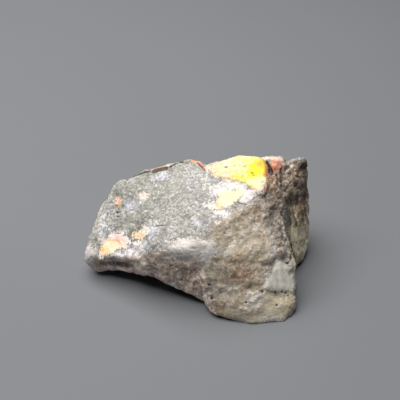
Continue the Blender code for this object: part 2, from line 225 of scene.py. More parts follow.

# Lines on the picture plane, each with half its width. Most are cracks and dark crust; the two short
# lines just under the white edge are grooves with painted shadow under its ledge.
DARK_LINES = [
    (0.22, [(-24.3, 6.5), (-23.3, 7.5), (-21.3, 8.2), (-18.6, 9.1), (-16.6, 9.5)]),
    (0.60, [(-15.4, 9.5), (-14, 9.9), (-12.2, 10.3), (-11.2, 10.5)]),
    (0.24, [(-9.9, 10.9), (-8.4, 11.9), (-7.2, 12.6), (-5.7, 12.6)]),
    (0.10, [(-15.7, -9.0), (-14, -8.7), (-12, -8.5)]),
    (0.07, [(-9.4, -6.0), (-8.2, -5.4), (-6.9, -4.4), (-5.6, -4.0)]),
    (0.10, [(20.2, 1.6), (18.9, 1.0), (17.6, 0.2)]),
    (0.16, [(15.4, -1.5), (13.8, -1.2), (12.4, -0.7)]),
    (0.30, [(25.4, 8.2), (25.8, 6.8), (25.8, 5.2)]),
    (0.20, [(30.3, -14.8), (30.5, -17.5), (30.2, -20.2)]),
    (0.20, [(-0.9, 12.4), (0.4, 11.2), (1.6, 10.0)]),
]
LIP_SEAM = (0.45, [(-33.5, -20.5), (-31, -20.1), (-28.7, -19.7), (-25.2, -19.4)])
PALE_SCRATCHES = [
    (0.24, [(2.3, 8.8), (2.1, 7.0), (1.6, 5.0), (1.1, 3.4)]),
    (0.20, [(2.4, 1.9), (3.4, 1.7), (4.4, 0.9)]),
    (0.36, [(-9.6, 12.1), (-8.4, 12.5), (-7.2, 12.6)]),
]
PALE_BANDS = [
    (0.5, [(8.3, -17.9), (10, -15.4), (13.7, -11.7), (16.7, -9.6), (19.6, -7.9)]),
    (0.3, [(16.7, -9.6), (22.5, -9.6), (23.3, -11.7)]),
    (0.3, [(5.0, -30.0), (9.0, -29.0), (13.0, -29.4)]),
    (0.4, [(-32.0, -22.6), (-27.0, -22.2), (-22.0, -23.0)]),
]
EMBER_LINES = [
    (0.40, [(-2.6, 13.3), (-0.6, 12.8), (0.9, 11.4), (2.3, 9.9)]),
    (0.20, [(2.8, 11.0), (4.0, 11.8), (5.4, 12.2)]),
    (0.16, [(-16.3, 9.9), (-14, 10.9), (-11.3, 11.7), (-9.5, 12.3)]),
    (0.62, [(22.1, 11.6), (22.3, 8.4), (22.0, 5.2), (21.5, 3.2)]),
]
EMBER_SPOTS = [(25.1, 11.5, 1.9, 2.2), (26.6, 12.6, 0.5, 0.4)]
PINK_LINES = [
    (0.45, [(20.6, 13.8), (22.8, 13.9), (25.0, 13.9), (27.2, 13.5), (28.2, 11.8)]),
    (0.50, [(27.3, 12.8), (27.9, 11.2), (27.6, 9.6)]),
    (0.30, [(21.4, 3.0), (20.0, 2.0), (18.6, 1.1)]),
    (0.24, [(-15.6, 10.6), (-12.6, 11.5), (-10.4, 12.0)]),
]
PINK_SPOTS = [(2.4, 10.9, 0.8, 0.7), (26.5, 13.3, 1.0, 0.5)]

# The split face folds along a line and is measured from its top.
CLEAVAGE_FOLD = ((26.0, -19.5), (27.8, -30.0))
CLEAVAGE_TOP = -19.8

# The hollow between the plateau and the red knob, pressed in and painted dark as painted shade.
HOLLOW = [
    (21.5, 13.0), (22.6, 12.7), (23.5, 11.5), (24.3, 9.9), (24.6, 8.5), (23.3, 8.0), (22.5, 9.4),
    (22.4, 11.4),
]

# The glow on the sides that the camera doesn't see: x, y, z of the middle and its three reaches.
HIDDEN_GLOW = [
    ((13, 16.5, 36.0), (9.5, 5.0, 3.4)), ((-6, 19.0, 33.0), (9.0, 5.5, 2.4)),
    ((6, 22.5, 24.0), (2.2, 2.2, 2.2)), ((-24, 18, 22), (3.0, 3.0, 1.5)), ((-31, 12, 9), (2.2, 2.2, 1.3)),
]

# How hot the glow is: right, up, reach, heat. Heat goes from 0, pinkish white, over orange and
# yellow to 1, lemon.
GLOW_HEAT = [
    (4.2, 10.6, 1.8, 0.28), (7.0, 10.0, 2.4, 0.64), (8.5, 7.6, 1.8, 0.42), (10.5, 12.4, 3.0, 0.84),
    (12.0, 8.4, 2.0, 0.78), (17.6, 10.0, 2.0, 1.0), (17.0, 6.6, 2.0, 0.98), (19.6, 8.5, 1.5, 0.88),
    (20.6, 12.0, 1.2, 0.70), (22.3, 9.0, 0.8, 0.36), (21.6, 3.4, 1.0, 0.20), (9.8, 2.0, 2.4, 0.90),
    (12.3, 2.0, 1.6, 0.90), (7.0, -0.4, 1.4, 0.72), (4.2, -2.4, 1.3, 0.14), (8.6, -1.7, 1.0, 0.30),
    (16.6, 1.4, 2.0, 0.02), (-28.6, -15.4, 1.6, 0.68), (-31.8, -17.3, 1.3, 0.52),
    (-28.3, -12.2, 1.6, 0.14), (-25.0, -13.6, 1.5, 0.12), (-20.9, -11.7, 1.2, 0.47),
    (-18.7, -9.6, 0.9, 0.10), (-18.8, 1.2, 1.5, 0.22), (-27.1, -0.4, 1.5, 0.40),
    (-20.7, -14.4, 1.2, 0.10), (-2.0, 13.2, 1.4, 0.60), (3.6, 10.9, 0.9, 0.34), (-33.3, -19.1, 0.8, 0.05),
    (-26.5, -17.2, 1.0, 0.16),
]

# How far the glow is bleached towards white: right, up, reach, amount.
GLOW_BLEACH = [
    (19.9, 5.6, 2.2, 0.8), (11.0, 10.8, 3.0, 0.75), (14.0, 12.6, 2.4, 0.5), (18.4, 9.6, 1.9, 0.0),
    (10.5, 2.2, 3.0, 0.85), (13.6, 2.2, 1.6, 1.0), (8.5, 8.0, 1.4, 0.6), (5.0, -2.6, 1.6, 0.5),
    (5.4, 10.4, 2.4, 0.62), (7.6, 1.6, 1.4, 0.85), (17.0, 1.2, 2.2, 0.0), (-28.6, -15.4, 1.4, 0.9),
    (-31.8, -17.3, 1.4, 0.55), (-28.0, -12.2, 1.6, 0.32), (-24.8, -13.6, 1.3, 0.4),
    (-20.9, -11.7, 1.2, 0.65), (-18.7, -9.6, 0.9, 0.9), (-18.8, 1.2, 1.5, 0.4), (-27.1, -0.4, 1.5, 0.5),
    (-20.7, -14.4, 1.2, 0.8), (-2.0, 13.2, 1.4, 0.2), (22.3, 9.0, 1.0, 0.0), (4.2, -2.4, 1.2, 0.6),
    (-33.3, -19.1, 0.8, 0.9), (12.0, 7.6, 2.0, 0.2),
]

# White rims beside the glow, and painted highlights along the ridge, on the left tip and under the lip:
# right, up, reach to the side, reach upwards, strength.
WHITE_RIMS_AND_HIGHLIGHTS = [
    (-27.0, -18.2, 4.6, 1.0, 0.7), (-37.4, -17.8, 3.0, 3.4, 0.9), (6.6, 3.4, 3.0, 1.8, 1.25),
    (11.6, 4.9, 4.6, 1.5, 1.3), (14.4, 3.0, 1.6, 1.6, 1.3), (-21.0, -16.8, 5.0, 1.8, 0.7),
    (-31.4, -13.6, 2.0, 2.2, 0.9), (-25.6, -10.8, 2.4, 0.9, 0.7), (-3.2, -16.4, 7.4, 2.6, 2.6),
    (7.4, -4.2, 2.4, 0.9, 1.1), (4.2, -1.6, 2.4, 1.2, 0.9), (-17.6, -9.8, 2.0, 1.8, 1.0),
    (-33.6, -18.6, 1.0, 0.8, 0.6), (-20.6, -14.8, 1.4, 0.8, 0.5), (-15.0, -9.4, 2.0, 2.4, 0.5),
]

# Where the glow is strongest against the light on the rock, given in the same way.
STRONGEST_GLOW = (-27.0, -14.6, 9.0, 5.0, 0.9)

# Soft coloured areas of the rock, and areas of painted shade and painted light, given in the same way.
FROST_AREAS = [
    (-22.9, -1.9, 2.8, 2.1, 0.9), (-32.0, -8.6, 3.2, 4.6, 0.55), (-16.4, -10.4, 2.6, 2.8, 1.0),
    (-12.3, 7.9, 3.0, 1.5, 0.85), (7.7, -4.7, 2.4, 0.9, 1.0), (-0.4, -7.4, 2.0, 1.3, 0.9),
    (-27.4, -18.4, 2.6, 0.7, 0.8), (-20.5, -15.8, 4.4, 2.4, 0.95), (-30.5, -3.0, 2.6, 2.4, 0.45),
    (-12.0, -12.4, 6.0, 1.8, 0.2), (-2.5, 6.5, 3.6, 3.5, 0.35), (5.5, 2.0, 1.8, 1.3, 1.0),
    (0.5, -2.0, 3.0, 1.4, 0.3), (10.0, 5.0, 3.6, 0.9, 0.95), (3.0, 5.5, 3.0, 4.0, 0.45),
    (-11, -15.6, 3.4, 1.2, 0.7), (-10, -29.0, 6.0, 0.9, 0.5), (-1.0, -33.5, 2.4, 2.0, 0.5),
]
GREEN_AREAS = [
    (-24.3, -7.2, 4.0, 3.4, 1.0), (-13, 1.5, 6, 4, 0.45), (-18.5, -4.0, 4.0, 2.4, 0.6),
    (-4.5, -3.2, 3.4, 1.5, 0.75), (-14, 5.5, 4, 2, 0.3), (-37, -17.5, 2.4, 2.6, 0.6),
    (-26, 4.0, 4, 2.6, 0.5), (2.5, 5.0, 2.6, 3.4, 0.3), (34, -14, 3.0, 4.0, 0.5),
    (14, -38.6, 4.6, 1.4, 0.8), (28.4, -34.2, 2.2, 3.4, 0.6), (9.0, -24.0, 2.2, 1.2, 0.8),
    (-18.2, -21.0, 2.0, 1.5, 0.7), (2.6, -19.6, 2.6, 3.0, 0.7),
]
STAIN_AREAS = [
    (25.4, 6.4, 1.6, 2.4, 0.8), (13.4, -25.0, 5.6, 3.0, 1.0), (12.0, -20, 3.6, 2.2, 0.7),
    (-27.3, -1.9, 1.8, 0.8, 0.9), (6.5, -36.0, 3.4, 2.0, 0.7), (33.0, -5.5, 2.2, 3.0, 0.6),
    (-20.7, -9.2, 1.5, 0.8, 0.8), (-24.0, -15.0, 1.2, 1.0, 0.6), (-33.8, -21.4, 2.6, 1.2, 0.9),
    (19.5, -5.5, 3.0, 2.0, 0.35), (26, -34, 3.2, 2.4, 0.35), (-1.5, -31.5, 2.4, 2.0, 0.5),
    (23.9, 6.0, 1.6, 3.4, 1.0), (34.0, -3.0, 2.0, 5.0, 0.8), (30.6, 9.0, 3.0, 2.0, 0.7),
    (-12.5, 10.4, 3.6, 0.6, 0.8),
]
# Brown areas of the rock; the one under the lip, 29 mm left, is painted shade along the lip's seam.
BROWN_AREAS = [
    (-6.0, -24.0, 6.5, 3.4, 0.65), (-16.0, -21.0, 3.0, 1.6, 0.4), (18.5, -3.6, 4.6, 2.0, 0.75),
    (-29.0, -20.8, 5.0, 0.9, 0.6), (2.6, -30.0, 2.2, 3.6, 0.5), (13.0, -17.5, 2.6, 2.0, 0.3),
    (26.0, 4.0, 2.6, 5.0, 0.8), (-13.0, 10.6, 3.4, 0.7, 0.75), (3.2, -36.0, 1.8, 2.0, 0.6),
]
# Painted shade on the lobe's top, in the gully and under the lip, where faces turn from the light; the area
# on the crest, 14 mm left, is its dark crust.
SHADE_AREAS = [
    (34.4, 11.6, 2.4, 3.0, 1.0), (32.0, 6.0, 2.8, 3.4, 0.6), (27.0, 5.6, 1.6, 3.0, 0.7),
    (34.6, 3.4, 1.4, 3.4, 0.5), (29.6, -1.6, 1.5, 6.0, 0.8), (24.0, 2.0, 2.0, 1.8, 0.5),
    (-14.0, 10.3, 2.4, 0.5, 0.9), (-30.0, -20.9, 4.6, 0.7, 0.5), (29.6, -13.0, 1.0, 6.0, 0.5),
]
# Pale worn patches, and painted light where faces turn from the lamp: on the left tip, the slope's left
# edge, under the lip and on the corner's foot.
WORN_AND_LIT_AREAS = [
    (-25.0, -22.4, 6.0, 1.2, 0.6), (29.8, -21.6, 1.8, 2.2, 0.8), (22.0, -25.2, 1.8, 3.0, 0.6),
    (9.0, -17.6, 3.0, 1.6, 0.5), (-37.2, -18.0, 3.0, 3.6, 1.0), (-35.0, -20.4, 2.4, 1.0, 0.6),
    (-18.6, -21.4, 2.6, 2.0, 0.8), (2.2, -20.0, 2.6, 3.6, 0.7), (9.6, -10.4, 3.0, 1.3, 0.6),
    (16.4, -13.6, 3.0, 2.2, 0.35), (8.0, -30.0, 4.0, 2.4, 0.5), (17.6, -33.4, 3.6, 3.6, 0.85),
    (27.6, -15.6, 1.4, 3.6, 0.3), (29.6, 11.4, 2.0, 0.9, 0.6), (-8.0, -28.6, 5.0, 0.9, 0.8),
    (0.4, -32.6, 2.4, 2.2, 0.9), (23.4, -39.4, 4.0, 1.6, 1.0), (-33.6, -6.0, 2.6, 6.0, 0.5),
    (-29.0, 1.6, 3.0, 3.4, 0.4), (28.8, 9.6, 1.8, 2.0, 0.5),
]
SPECKLED_AREAS = [
    (-24.6, -17.4, 6.0, 1.8, 1.0), (8.6, -14.0, 3.0, 3.0, 0.5), (-12.0, -10.0, 9.0, 3.6, 1.0),
    (-9.0, -3.6, 5.0, 1.4, 0.6), (-33.0, -9.0, 3.0, 5.0, 0.4), (19.5, -3.0, 5.5, 4.0, 1.0),
    (10.0, -25.0, 3.4, 3.0, 0.8), (4.5, -33.5, 3.6, 3.4, 1.0), (16.5, -31.0, 3.4, 2.4, 0.6),
    (14.6, -19.0, 4.0, 2.6, 0.5), (31.0, 6.0, 4.0, 4.0, 0.8),
]
LILAC_AREAS = [
    (-22.6, -15.6, 3.2, 2.4, 0.8), (-26.0, -17.8, 4.6, 1.3, 0.9), (-16.6, -9.6, 2.6, 2.0, 0.6),
    (11.4, 5.2, 3.6, 1.2, 0.9), (4.6, 0.6, 2.4, 1.6, 0.6),
]
CALM_AREAS = [
    (-6.0, 4.0, 8.0, 5.0, 0.75), (2.0, 4.0, 4.0, 5.0, 0.9), (-25.0, -7.4, 3.4, 3.0, 0.5),
    (6.8, -15.6, 2.0, 2.2, 1.0), (13.6, -16.6, 3.6, 1.5, 1.0), (-37.2, -18.0, 2.4, 3.2, 0.9),
    (12.6, -37.6, 4.0, 1.4, 0.9), (17.5, -11.4, 2.0, 2.0, 0.6),
]

# How much of each mask each part of the stone carries. "brown_back" and "pale_back" are broad patches
# of the sides that the camera doesn't see.
MASK_PARTS = {
    "green": {"slope": 0.55, "lobe_foot": 0.7, "brown_back": -0.35},
    "olive": {"olive_strip": 0.8, "ridge_top": 0.25, "lobe_foot": 0.2, "hem_band": 0.5, "lobe_top": 0.3},
    "beige": {"buttress": 1.0, "corner": 1.0, "lobe_middle": 0.8},
    "brown": {"gully": 0.6, "lobe_top": 1.0, "lobe_middle": 0.2, "brown_back": 0.75},
    "stain": {},
    "frost": {"pale_back": 0.8},
    "shade": {},
    "streak": {"gully": 0.6, "lobe_top": 1.0, "lobe_middle": 1.0, "lobe_foot": 0.25},
    "mottle": {"broken_front": 1.0, "under_lip": 0.5, "buttress": 0.12, "hidden": 0.5, "gully": 0.2},
    "split_face": {"cleavage": 1.0},
    "corner": {"corner": 1.0, "hem_band": 0.6},
    # The ridge's top is painted lighter in the worn mask, as a painted highlight.
    "worn": {"ridge_top": 0.95},
    # The front is painted paler than its rock, as painted light on faces turned from the lamp.
    "front": {"broken_front": 1.0, "under_lip": 0.6, "brown_back": 0.7},
    # The lobe's foot is pale rock painted paler still, as painted light.
    "pale_and_lit_lobe": {"lobe_foot": 1.2, "lobe_middle": 0.7},
    "lilac": {},
    "speckled": {"slope": 0.42, "broken_front": 0.3, "buttress": 0.24},
    "calm": {"buttress": 0.42, "corner": 0.8, "hem_band": 0.8, "lobe_foot": 0.6, "olive_strip": 0.5,
             "pale_back": 0.6},
    "coarse": {"buttress": 0.5, "broken_front": 0.8, "gully": 1.0, "lobe_top": 1.0, "hidden": 1.0},
}
MASK_AREAS = {"green": GREEN_AREAS, "brown": BROWN_AREAS, "stain": STAIN_AREAS, "frost": FROST_AREAS,
              "shade": SHADE_AREAS, "lilac": LILAC_AREAS, "speckled": SPECKLED_AREAS, "calm": CALM_AREAS}

# Colours as they look in daylight, 0 to 255.
GREY_ROCK = (166, 162, 157)
BEIGE_ROCK = (200, 184, 160)
SAGE_ROCK = (158, 158, 149)
OLIVE_ROCK = (158, 150, 122)
BROWN_ROCK = (137, 117, 97)
RUST_STAIN = (172, 138, 108)
EMBER = (232, 142, 112)
CREAM = (222, 196, 170)
FROST_WHITE = (201, 203, 213)
CLEAVAGE_WHITE = (255, 250, 239)
CLEAVAGE_SHADE = (238, 231, 218)
DEEP_BROWN = (88, 69, 52)
BLEACHED_GLOW = (254, 250, 224)
GLOW_SMUDGE = (226, 150, 70)
CORNER_BEIGE = (210, 198, 168)
GLOW_REFLECTS = (0.60, 0.60, 0.60, 1.0)
# Black grains and cracks, and painted shadow under the white edge's ledge.
BLACK_GRAIN_AND_SHADOW = (36, 28, 21)
# The colour of dark crust and specks, and of painted shade in the gully, on the lobe, under the lip and in
# the hollow.
DARK_CRUST_AND_SHADE = (52, 40, 31)
PALE_GRAIN = (226, 219, 207)
LILAC_GREY = (174, 164, 157)
LILAC_WHITE = (196, 194, 208)
# Pale worn rock and lumps, and painted light on faces turned from the lamp.
PALE_AND_LIT_WHITE = (233, 227, 217)
# The rock of the broken front and of patches on the back; on the front it is painted paler than the rock is,
# as painted light.
FRONT_ROCK_WITH_PAINTED_LIGHT = (250, 223, 206)
# The lobe's pale foot, painted paler still, as painted light on a face turned from the lamp.
LOBE_PALE_WITH_PAINTED_LIGHT = (255, 242, 206)
PINK_CRUST = (240, 208, 190)
# The white of the rims by the glow, and of painted highlights.
RIM_AND_HIGHLIGHT_WHITE = (234, 228, 223)
TAN_STREAK = (180, 160, 130)

# The colours of the glow from the coolest to the hottest, and the floor's two greys.
GLOW_COLOURS = [
    (0.0, (247, 238, 243)), (0.15, (246, 205, 196)), (0.30, (243, 150, 100)), (0.46, (246, 166, 74)),
    (0.62, (250, 205, 84)), (0.80, (249, 234, 92)), (1.0, (240, 242, 14)),
]
FLOOR_GREYS = (112, 114, 118), (117, 119, 123)

# The rock's coloured layers from the lowest up. Each has its mask, the level at which it starts, how
# soft, ragged, wide and grainy its edge is, how far it covers, and its colour.
LOWER_LAYERS = [
    ("beige", 0.5, 0.42, 0.32, 3.0, 0.5, 1.0, BEIGE_ROCK),
    # The front layer is painted paler than the rock, as painted light.
    ("front", 0.5, 0.3, 0.4, 2.0, 0.5, 1.0, FRONT_ROCK_WITH_PAINTED_LIGHT),
    ("green", 0.5, 0.3, 0.45, 2.2, 0.5, 1.0, SAGE_ROCK),
    # The pale lobe layer is pale rock painted paler still, as painted light.
    ("pale_and_lit_lobe", 0.5, 0.35, 0.4, 1.6, 0.5, 1.0, LOBE_PALE_WITH_PAINTED_LIGHT),
    ("olive", 0.55, 0.3, 0.5, 1.8, 0.5, 1.0, OLIVE_ROCK),
]
UPPER_LAYERS = [
    ("brown", 0.5, 0.35, 0.6, 1.5, 0.5, 0.85, BROWN_ROCK),
    ("stain", 0.5, 0.35, 0.5, 1.3, 0.5, 0.85, RUST_STAIN),
    ("corner", 0.5, 0.3, 0.2, 2.0, 0.5, 0.75, CORNER_BEIGE),
    ("frost", 0.5, 0.35, 0.45, 1.3, 0.8, 1.0, FROST_WHITE),
    ("lilac", 0.5, 0.35, 0.5, 1.2, 0.7, 1.0, LILAC_WHITE),
    # worn carries pale wear and painted light.
    ("worn", 0.5, 0.4, 0.5, 1.4, 0.5, 0.9, PALE_AND_LIT_WHITE),
]
MARK_LAYERS = [
    ("lump", 0.2, 0.3, 0.6, 0.8, 0.6, 0.6, PALE_AND_LIT_WHITE),
    ("scratch", 0.0, 0.07, 0.16, 0.6, 0.1, 0.75, PALE_GRAIN),
    # shade is painted shade, and the dark crust on the crest.
    ("shade", 0.45, 0.35, 0.5, 1.0, 0.5, 0.72, DARK_CRUST_AND_SHADE),
]
CRUST_AND_PAINTED_LIGHT_LAYERS = [
    # White rims by the glow, and painted highlights on the ridge, the left tip and under the lip.
    ("bright", 0.5, 0.35, 0.5, 0.9, 0.7, 0.92, RIM_AND_HIGHLIGHT_WHITE),
    ("pink", 0.05, 0.2, 0.4, 0.9, 0.35, 0.85, PINK_CRUST),
    # The hollow is painted shade.
    ("hollow", 0.5, 0.25, 0.3, 0.8, 0.2, 0.92, DARK_CRUST_AND_SHADE),
]

# Mottling and upright streaks: mask, width, detail, stretch, where the cloud's value starts and ends
# to count, how far it covers, and its colour.
MOTTLES = [
    ("mottle", 1.9, 5.0, None, 0.51, 0.60, 0.50, DEEP_BROWN),
    ("mottle", 1.9, 5.0, None, 0.52, 0.42, 0.40, PALE_GRAIN),
    ("streak", 1.3, 4.0, (1.0, 1.0, 0.18), 0.48, 0.58, 0.8, DEEP_BROWN),
    ("streak", 1.2, 4.0, (1.0, 1.0, 0.14), 0.47, 0.38, 0.5, TAN_STREAK),
]

# Widths of the grains and of the clumps that they form, in mm, and how far they stand out as bump.
GRAIN_WIDTH = 0.55
CLUMP_WIDTH = 1.25
GRAIN_BUMP = 0.10
CLUMP_BUMP = 0.08
COARSE_BUMP = 0.12
CLEAVAGE_KEEPS_FLAT = 0.85

# How strongly the patches glow, and how much weaker than that outside the strongest area.
GLOW_STRENGTH = 0.62
WEAKER_GLOW = 0.62

# The skin's gloss, and how much light goes into the rock and how far it spreads there, in mm.
ROUGHNESS = 0.74
SPARKLE_SHINE = 0.40
CLEAVAGE_SHINE = 0.22
LIGHT_GOES_INTO_ROCK = 0.3
LIGHT_SPREAD = 1.2

# The light: place and aim in mm, side in mm, power in watts.
LIGHT_PLACE = (-135, 85, 560)
LIGHT_AIM = (0, 0, 15)
LIGHT_SIDE = 560
LIGHT_POWER = 6.6
LIGHT_COLOUR = (1.0, 0.985, 0.96)
AIR_COLOUR = (0.75, 0.79, 0.85, 1)
AIR_STRENGTH = 0.02
FLOOR_HALF_WIDTH = 1200


def linear(colour):
    """A daylight colour, 0 to 255, as the linear colour a shader socket takes."""
    return tuple((((c / 255) + 0.055) / 1.055) ** 2.4 for c in colour) + (1.0,)


def smooth_step(low, high, value):
    """0 below low, 1 above high, and an easy slope between."""
    t = np.clip((value - low) / (high - low), 0, 1)
    return t * t * (3 - 2 * t)


# Measuring on the picture plane.

def sighted(points):
    """Where the camera sees each point: mm right and up of the aim point, on the plane through it."""
    offset = points - CAMERA_PLACE
    ahead = -(offset @ SIGHT_BACK)
    flat = np.stack((offset @ SIGHT_RIGHT, offset @ SIGHT_UP), axis=-1)
    return flat * (CAMERA_DISTANCE / ahead)[:, None]


def facing_camera(points, normals):
    """1 where the skin faces the camera, 0 where it faces away."""
    towards = CAMERA_PLACE - points
    towards /= np.linalg.norm(towards, axis=1)[:, None]
    return smooth_step(-0.12, 0.12, np.einsum("ij,ij->i", towards, normals))


def gap_to_segment(spots, start, end):
    """Distance from each spot to one straight segment."""
    along = np.subtract(end, start)
    share = np.clip(((spots - start) @ along) / (along @ along), 0, 1)
    return np.linalg.norm(spots - start - share[:, None] * along, axis=1)


def gap_to_line(spots, line):
    """Distance from each spot to a line of several segments."""
    return np.min([gap_to_segment(spots, a, b) for a, b in zip(line, line[1:])], axis=0)


def gap_past_line(spots, start, end):
    """How far each spot lies to the right of a line that runs from start down to end, in mm."""
    along = np.subtract(end, start)
    along = along / np.linalg.norm(along)
    offset = spots - start
    return along[0] * offset[:, 1] - along[1] * offset[:, 0]


def depth_inside(spots, outline):
    """How deep each spot is inside an outline, in mm. Outside it the depth is negative."""
    inside = np.zeros(len(spots), bool)
    for (ax, ay), (bx, by) in zip(outline, outline[1:] + outline[:1]):
        if ay == by:
            continue
        crosses = (ay > spots[:, 1]) != (by > spots[:, 1])
        inside ^= crosses & (spots[:, 0] < (bx - ax) * (spots[:, 1] - ay) / (by - ay) + ax)
    gap = gap_to_line(spots, outline + outline[:1])
    return np.where(inside, gap, -gap)


def depth_in_spot(spots, right, up, reach_right, reach_up):
    """As depth_inside, for a round spot."""
    away = np.hypot((spots[:, 0] - right) / reach_right, (spots[:, 1] - up) / reach_up)
    return (1 - away) * min(reach_right, reach_up)


def soft_areas(spots, areas):
    """The strongest of several soft oval areas at each spot."""
    strongest = np.zeros(len(spots))
    for right, up, reach_right, reach_up, strength in areas:
        away = ((spots[:, 0] - right) / reach_right) ** 2 + ((spots[:, 1] - up) / reach_up) ** 2
        strongest = np.maximum(strongest, strength * np.exp(-away))
    return strongest


def blended(spots, samples):
    """The value at each spot, blended between given ones by how near they are."""
    total = np.full(len(spots), 1e-9)
    value = np.zeros(len(spots))
    for right, up, reach, worth in samples:
        weight = np.exp(-((spots[:, 0] - right) ** 2 + (spots[:, 1] - up) ** 2) / reach ** 2) + 1e-7
        total += weight
        value += weight * worth
    return value / total


# Broken-rock patterns, as heights in mm or values about zero.

def rough(points, size, octaves):
    """Cloudy unevenness between about -1 and 1. size is the width of its largest lumps."""
    places = (points / size).tolist()
    return np.array([noise.fractal(p, 0.9, 2.1, octaves) for p in places])


def grain_faces(points, size, seed):
    """Heights between about -1 and 1 of tilted flat faces, one for each grain of the rock."""
    heights = np.empty(len(points))
    for i, p in enumerate((points / size + seed).tolist()):
        centre = noise.voronoi(p)[1][0]
        tilt = noise.noise_vector(centre * 7.31)
        lean = tilt.x * (p[0] - centre.x) + tilt.y * (p[1] - centre.y) + tilt.z * (p[2] - centre.z)
        heights[i] = 1.6 * lean + 0.8 * noise.noise(centre * 3.77)
    return heights


def billows(points, size, seed):
    """Rounded lumps with sharp valleys, from 0 in a valley to about 1 on a lump."""
    places = (points / size + seed).tolist()
    return 1.1 * np.abs([noise.noise(p) for p in places])


# The masks of the rock.

def zone(spots, outline, softness):
    """1 well inside an outline and 0 well outside it, with a soft edge."""
    return smooth_step(-softness, softness, depth_inside(spots, outline))


def added_up(zones, shares):
    """The zones added up, each with its share."""
    return sum(share * zones[name] for name, share in shares.items())


def seen_zones(points, normals):
    """How much each point belongs to each part of the stone, and to the hidden sides."""
    wander = np.stack([rough(points + 31, 5.0, 2), rough(points - 57, 5.0, 2)], axis=-1) * EDGE_WANDER
    spots = sighted(points) + wander
    seen = facing_camera(points, normals)
    zones = {"hidden": 1 - seen}
    for name, (outline, softness) in PARTS.items():
        back = wander * CLEAVAGE_WANDERS_LESS if name == "cleavage" else 0
        zones[name] = zone(spots - back, outline, softness) * seen
    return zones


def glow_depth(points, normals):
    """How deep each point is inside the nearest glowing patch, in mm, from -3 to 3."""
    spots = sighted(points)
    depth = np.full(len(points), -3.0)
    for outline in (PLATEAU_GLOW, LOWER_GLOW, LEFT_GLOW, SMALL_GLOW, NOTCH_GLOW):
        depth = np.maximum(depth, depth_inside(spots, outline))
    for spot in GLOW_SPOTS:
        depth = np.maximum(depth, depth_in_spot(spots, *spot))
    seen = facing_camera(points, normals)
    depth = depth * seen - 3 * (1 - seen)
    return np.clip(np.maximum(depth, hidden_glow_depth(points, seen)), -3, 3)


def hidden_glow_depth(points, seen):
    """The same depth for the vein behind the crest and the spots on the back."""
    depth = np.full(len(points), -3.0)
    for centre, reach in HIDDEN_GLOW:
        away = np.linalg.norm((points - centre) / reach, axis=1)
        depth = np.maximum(depth, (1 - away) * min(reach))
    depth += 1.1 * rough(points + 11, 3.0, 4)
    return np.where(seen > 0.5, -3.0, depth)


def line_depth(points, normals, lines, spots_list=()):
    """How deep each point is inside the nearest of several thin lines and dots, in mm."""
    spots = sighted(points)
    depth = np.full(len(points), -1.0)
    for half_width, line in lines:
        depth = np.maximum(depth, half_width - gap_to_line(spots, line))
    for spot in spots_list:
        depth = np.maximum(depth, depth_in_spot(spots, *spot))
    seen = facing_camera(points, normals)
    return np.clip(depth * seen - (1 - seen), -1, 1)


# The stone's skin.

def mesh_arrays(mesh):
    """The vertices in mm, their normals and the edges of a mesh, as arrays."""
    count = len(mesh.vertices)
    points = np.empty(count * 3, np.float32)
    mesh.vertices.foreach_get("co", points)
    normals = np.empty(count * 3, np.float32)
    mesh.vertex_normals.foreach_get("vector", normals)
    edges = np.empty(len(mesh.edges) * 2, np.int32)
    mesh.edges.foreach_get("vertices", edges)
    points = points.reshape(-1, 3).astype(float) / MM
    return points, normals.reshape(-1, 3).astype(float), edges.reshape(-1, 2)


def write_points(mesh, points):
    """Moves the mesh's vertices to the points, given in mm."""
    mesh.vertices.foreach_set("co", (points * MM).astype(np.float32).ravel())
    mesh.update()


def smoothed(points, edges, rounds, strength=0.5):
    """Each point moves towards the middle of its neighbours, a number of times."""
    count = len(points)
    neighbours = np.bincount(edges.ravel(), minlength=count)[:, None]
    for _ in range(rounds):
        total = np.empty_like(points)
        for axis in range(3):
            total[:, axis] = np.bincount(edges[:, 0], points[edges[:, 1], axis], count)
            total[:, axis] += np.bincount(edges[:, 1], points[edges[:, 0], axis], count)
        points = points + strength * (total / neighbours - points)
    return points


def worn_round(points, edges, amount, rounds):
    """The points smoothed only where amount is above 0."""
    near = edges[amount[edges].max(axis=1) > 0.01]
    used, near = np.unique(near, return_inverse=True)
    near = near.reshape(-1, 2)
    local = smoothed(points[used], near, rounds, 0.5 * amount[used][:, None])
    worn = points.copy()
    worn[used] = local
    return worn


def with_modifier(mesh, kind, **settings):
    """A new mesh: the given one after one modifier."""
    carrier = bpy.data.objects.new("carrier", mesh)
    bpy.context.scene.collection.objects.link(carrier)
    modifier = carrier.modifiers.new("shape", kind)
    for name, value in settings.items():
        setattr(modifier, name, value)
    shaped = carrier.evaluated_get(bpy.context.evaluated_depsgraph_get())
    result = bpy.data.meshes.new_from_object(shaped)
    bpy.data.objects.remove(carrier)
    bpy.data.meshes.remove(mesh)
    return result


